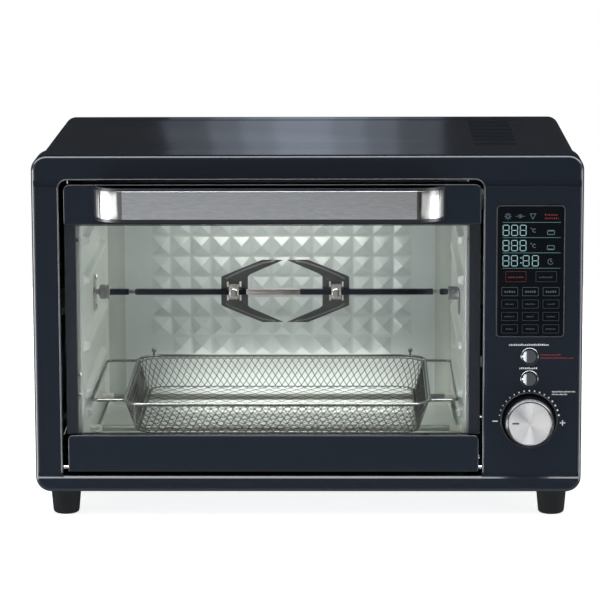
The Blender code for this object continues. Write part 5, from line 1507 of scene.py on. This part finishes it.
def area_light(name, place, target, size, radiance, colour=(1, 1, 1), glossy=False, diffuse=True):
    """A rectangular lamp of a given radiance."""
    data = bpy.data.lights.new(name, "AREA")
    data.shape = "RECTANGLE"
    data.size, data.size_y = size
    data.energy = radiance * math.pi * size[0] * size[1]
    data.color = colour
    obj = bpy.data.objects.new(name, data)
    bpy.context.scene.collection.objects.link(obj)
    obj.location = place
    obj.rotation_euler = (Vector(target) - Vector(place)).to_track_quat("-Z", "Y").to_euler()
    obj.visible_camera = False
    obj.visible_glossy = glossy
    obj.visible_diffuse = diffuse
    return obj


def math_node(tree, operation, first, second=None):
    """A shader math node on numbers or sockets."""
    node = tree.nodes.new("ShaderNodeMath")
    node.operation = operation
    for slot, value in enumerate((first, second)):
        if value is None:
            continue
        if isinstance(value, (int, float)):
            node.inputs[slot].default_value = value
        else:
            tree.links.new(value, node.inputs[slot])
    return node.outputs[0]


def soft_card(tree, vector, toward, half, soft, strength, up=(0, 0, 1)):
    """A soft-edged bright panel in the distance, for reflections."""
    forward = Vector(toward).normalized()
    right = forward.cross(Vector(up)).normalized()
    total = strength
    for axis, first, last, start, end in ((right, half[0], half[0] + soft[0], 1, 0),
                                          (right.cross(forward), half[1], half[1] + soft[1], 1, 0),
                                          (forward, 0.02, 0.15, 0, 1)):
        dot = tree.nodes.new("ShaderNodeVectorMath")
        dot.operation = "DOT_PRODUCT"
        dot.inputs[1].default_value = axis
        tree.links.new(vector, dot.inputs[0])
        value = dot.outputs["Value"]
        if axis is not forward:
            value = math_node(tree, "ABSOLUTE", value)
        fade = tree.nodes.new("ShaderNodeMapRange")
        fade.interpolation_type = "SMOOTHSTEP"
        for key, number in (("From Min", first), ("From Max", last), ("To Min", start), ("To Max", end)):
            fade.inputs[key].default_value = number
        tree.links.new(value, fade.inputs["Value"])
        total = math_node(tree, "MULTIPLY", fade.outputs["Result"], total)
    return total


def studio_world():
    """White to the eye, soft and dim as ambient light, and a few soft panels for gloss to reflect."""
    world = bpy.data.worlds.new("studio")
    world.use_nodes = True
    tree = world.node_tree
    tree.nodes.clear()
    out = tree.nodes.new("ShaderNodeOutputWorld")
    path = tree.nodes.new("ShaderNodeLightPath")
    coord = tree.nodes.new("ShaderNodeTexCoord")
    vector = coord.outputs["Generated"]
    seen, mirrored, ambient = (tree.nodes.new("ShaderNodeBackground") for _ in range(3))
    for background, strength in ((seen, 1.0), (mirrored, 0.05), (ambient, 0.26)):
        background.inputs["Color"].default_value = (1, 1, 1, 1)
        background.inputs["Strength"].default_value = strength
    total = 0.04
    for card in (((0, -0.36, 0.93), (0.80, 0.22), (0.2, 0.10), 12.0),
                 ((0, -0.56, 0.83), (0.80, 0.30), (0.2, 0.12), 3.0),
                 ((-0.87, -0.50, -0.16), (0.52, 0.16), (0.12, 0.12), 2.6),
                 ((-0.93, -0.26, -0.22), (0.26, 0.12), (0.10, 0.10), 15.0),
                 ((0.84, -0.54, -0.16), (0.56, 0.16), (0.07, 0.12), 1.25),
                 ((0.93, -0.26, -0.22), (0.26, 0.12), (0.10, 0.10), 9.0),
                 ((0, -0.35, -1), (0.8, 0.5), (0.2, 0.2), 0.9),
                 ((-0.22, -1, -0.16), (0.21, 0.30), (0.24, 0.2), 0.29)):
        total = math_node(tree, "ADD", soft_card(tree, vector, *card), total)
    tree.links.new(total, mirrored.inputs["Strength"])
    first, second = tree.nodes.new("ShaderNodeMixShader"), tree.nodes.new("ShaderNodeMixShader")
    tree.links.new(path.outputs["Is Glossy Ray"], first.inputs["Fac"])
    tree.links.new(ambient.outputs[0], first.inputs[1])
    tree.links.new(mirrored.outputs[0], first.inputs[2])
    tree.links.new(path.outputs["Is Camera Ray"], second.inputs["Fac"])
    tree.links.new(first.outputs[0], second.inputs[1])
    tree.links.new(seen.outputs[0], second.inputs[2])
    tree.links.new(second.outputs[0], out.inputs["Surface"])
    bpy.context.scene.world = world


def stage():
    """Floor, studio and oven lights, and the camera."""
    scene = bpy.context.scene
    scene.view_settings.view_transform = "Standard"
    bm = bmesh.new()
    bmesh.ops.create_circle(bm, cap_ends=True, radius=1.3, segments=96,
                            matrix=Matrix.Translation((0, 0, -0.0002)))
    floor = object_of("floor", bm)
    mat = mottle(new_material("pale_floor", (0.93, 0.93, 0.93), 0.8), 3, 0.01, 0.02)
    shader = mat.node_tree.nodes["Principled BSDF"]
    shader.inputs["Emission Color"].default_value = (1, 1, 1, 1)
    shader.inputs["Emission Strength"].default_value = 0.85
    floor.data.materials.append(mat)
    floor.visible_glossy = False

    studio_world()
    area_light("overhead", (0.0, -0.7, 2.4), (0, -0.1, 0.2), (2.4, 1.6), 2.0)
    area_light("left_box", (-2.2, -1.4, 0.9), (0, -0.1, 0.2), (1.2, 1.8), 0.5)
    area_light("right_box", (2.3, -1.2, 0.9), (0, -0.1, 0.2), (1.0, 1.6), 0.7)
    for i, width in enumerate((0.07, 0.15, 0.23, 0.34)):
        area_light(f"top_sheen_{i}", (-0.013, 0.62 + 0.002 * i, 0.475), (-0.013, 0, 0.38), (width, 0.24),
                   0.135, (0.84, 0.95, 1.14), glossy=True, diffuse=False)
    middle = Vector(((CAVITY_LEFT + CAVITY_RIGHT) / 2, at(0.215), ROOF_Z - 0.003))
    area_light("oven_light", middle, middle - Vector((0, 0, 1)), (0.20, 0.11), 5.4, (1.0, 0.95, 0.87),
               glossy=True)
    area_light("oven_front_light", middle + Vector((0, -0.180, -0.001)), middle + Vector((0, 0, -0.12)),
               (0.30, 0.05), 1.6, (0.88, 0.98, 1.09))
    low = Vector((-0.020, at(0.272), 0.066))
    area_light("low_rear_light", low, low + Vector((0, 1, 0.1)), (0.25, 0.010), 18.0, (1.0, 0.98, 0.91))
    low = Vector((-0.030, at(0.225), 0.0765))
    area_light("low_tray_light", low, low + Vector((0, 0.25, -1)), (0.27, 0.13), 0.3, (1.0, 0.98, 0.92))

    camera = bpy.data.cameras.new("camera")
    camera.lens = 193.85
    camera.sensor_width = 36
    camera.clip_start, camera.clip_end = 0.05, 60
    obj = bpy.data.objects.new("camera", camera)
    scene.collection.objects.link(obj)
    obj.location = (0.04448, at(-3.15728), 0.76469)
    turn = Matrix.Rotation(0.016425, 3, "Z") @ Matrix.Rotation(math.pi / 2 - 0.170081, 3, "X")
    obj.rotation_euler = (turn @ Matrix.Rotation(-0.003374, 3, "Z")).to_euler()
    scene.camera = obj


fascia()
opening_trim()
recess_ring()
cabinet()
rear_sheet()
casing_screws()
feet()
door()
handle()
pins()
side_sheet("left_sheet", "cavity_left_wall", CAVITY_LEFT, 1, left_liner_lit)
side_sheet("right_sheet", "cavity_right_wall", CAVITY_RIGHT, -1, right_liner_shaded)
back_sheet()
tray()
heaters()
lamp()
spit()
forks()
spit_mounts()
basket()
display()
controls()
carried_over()
stage()
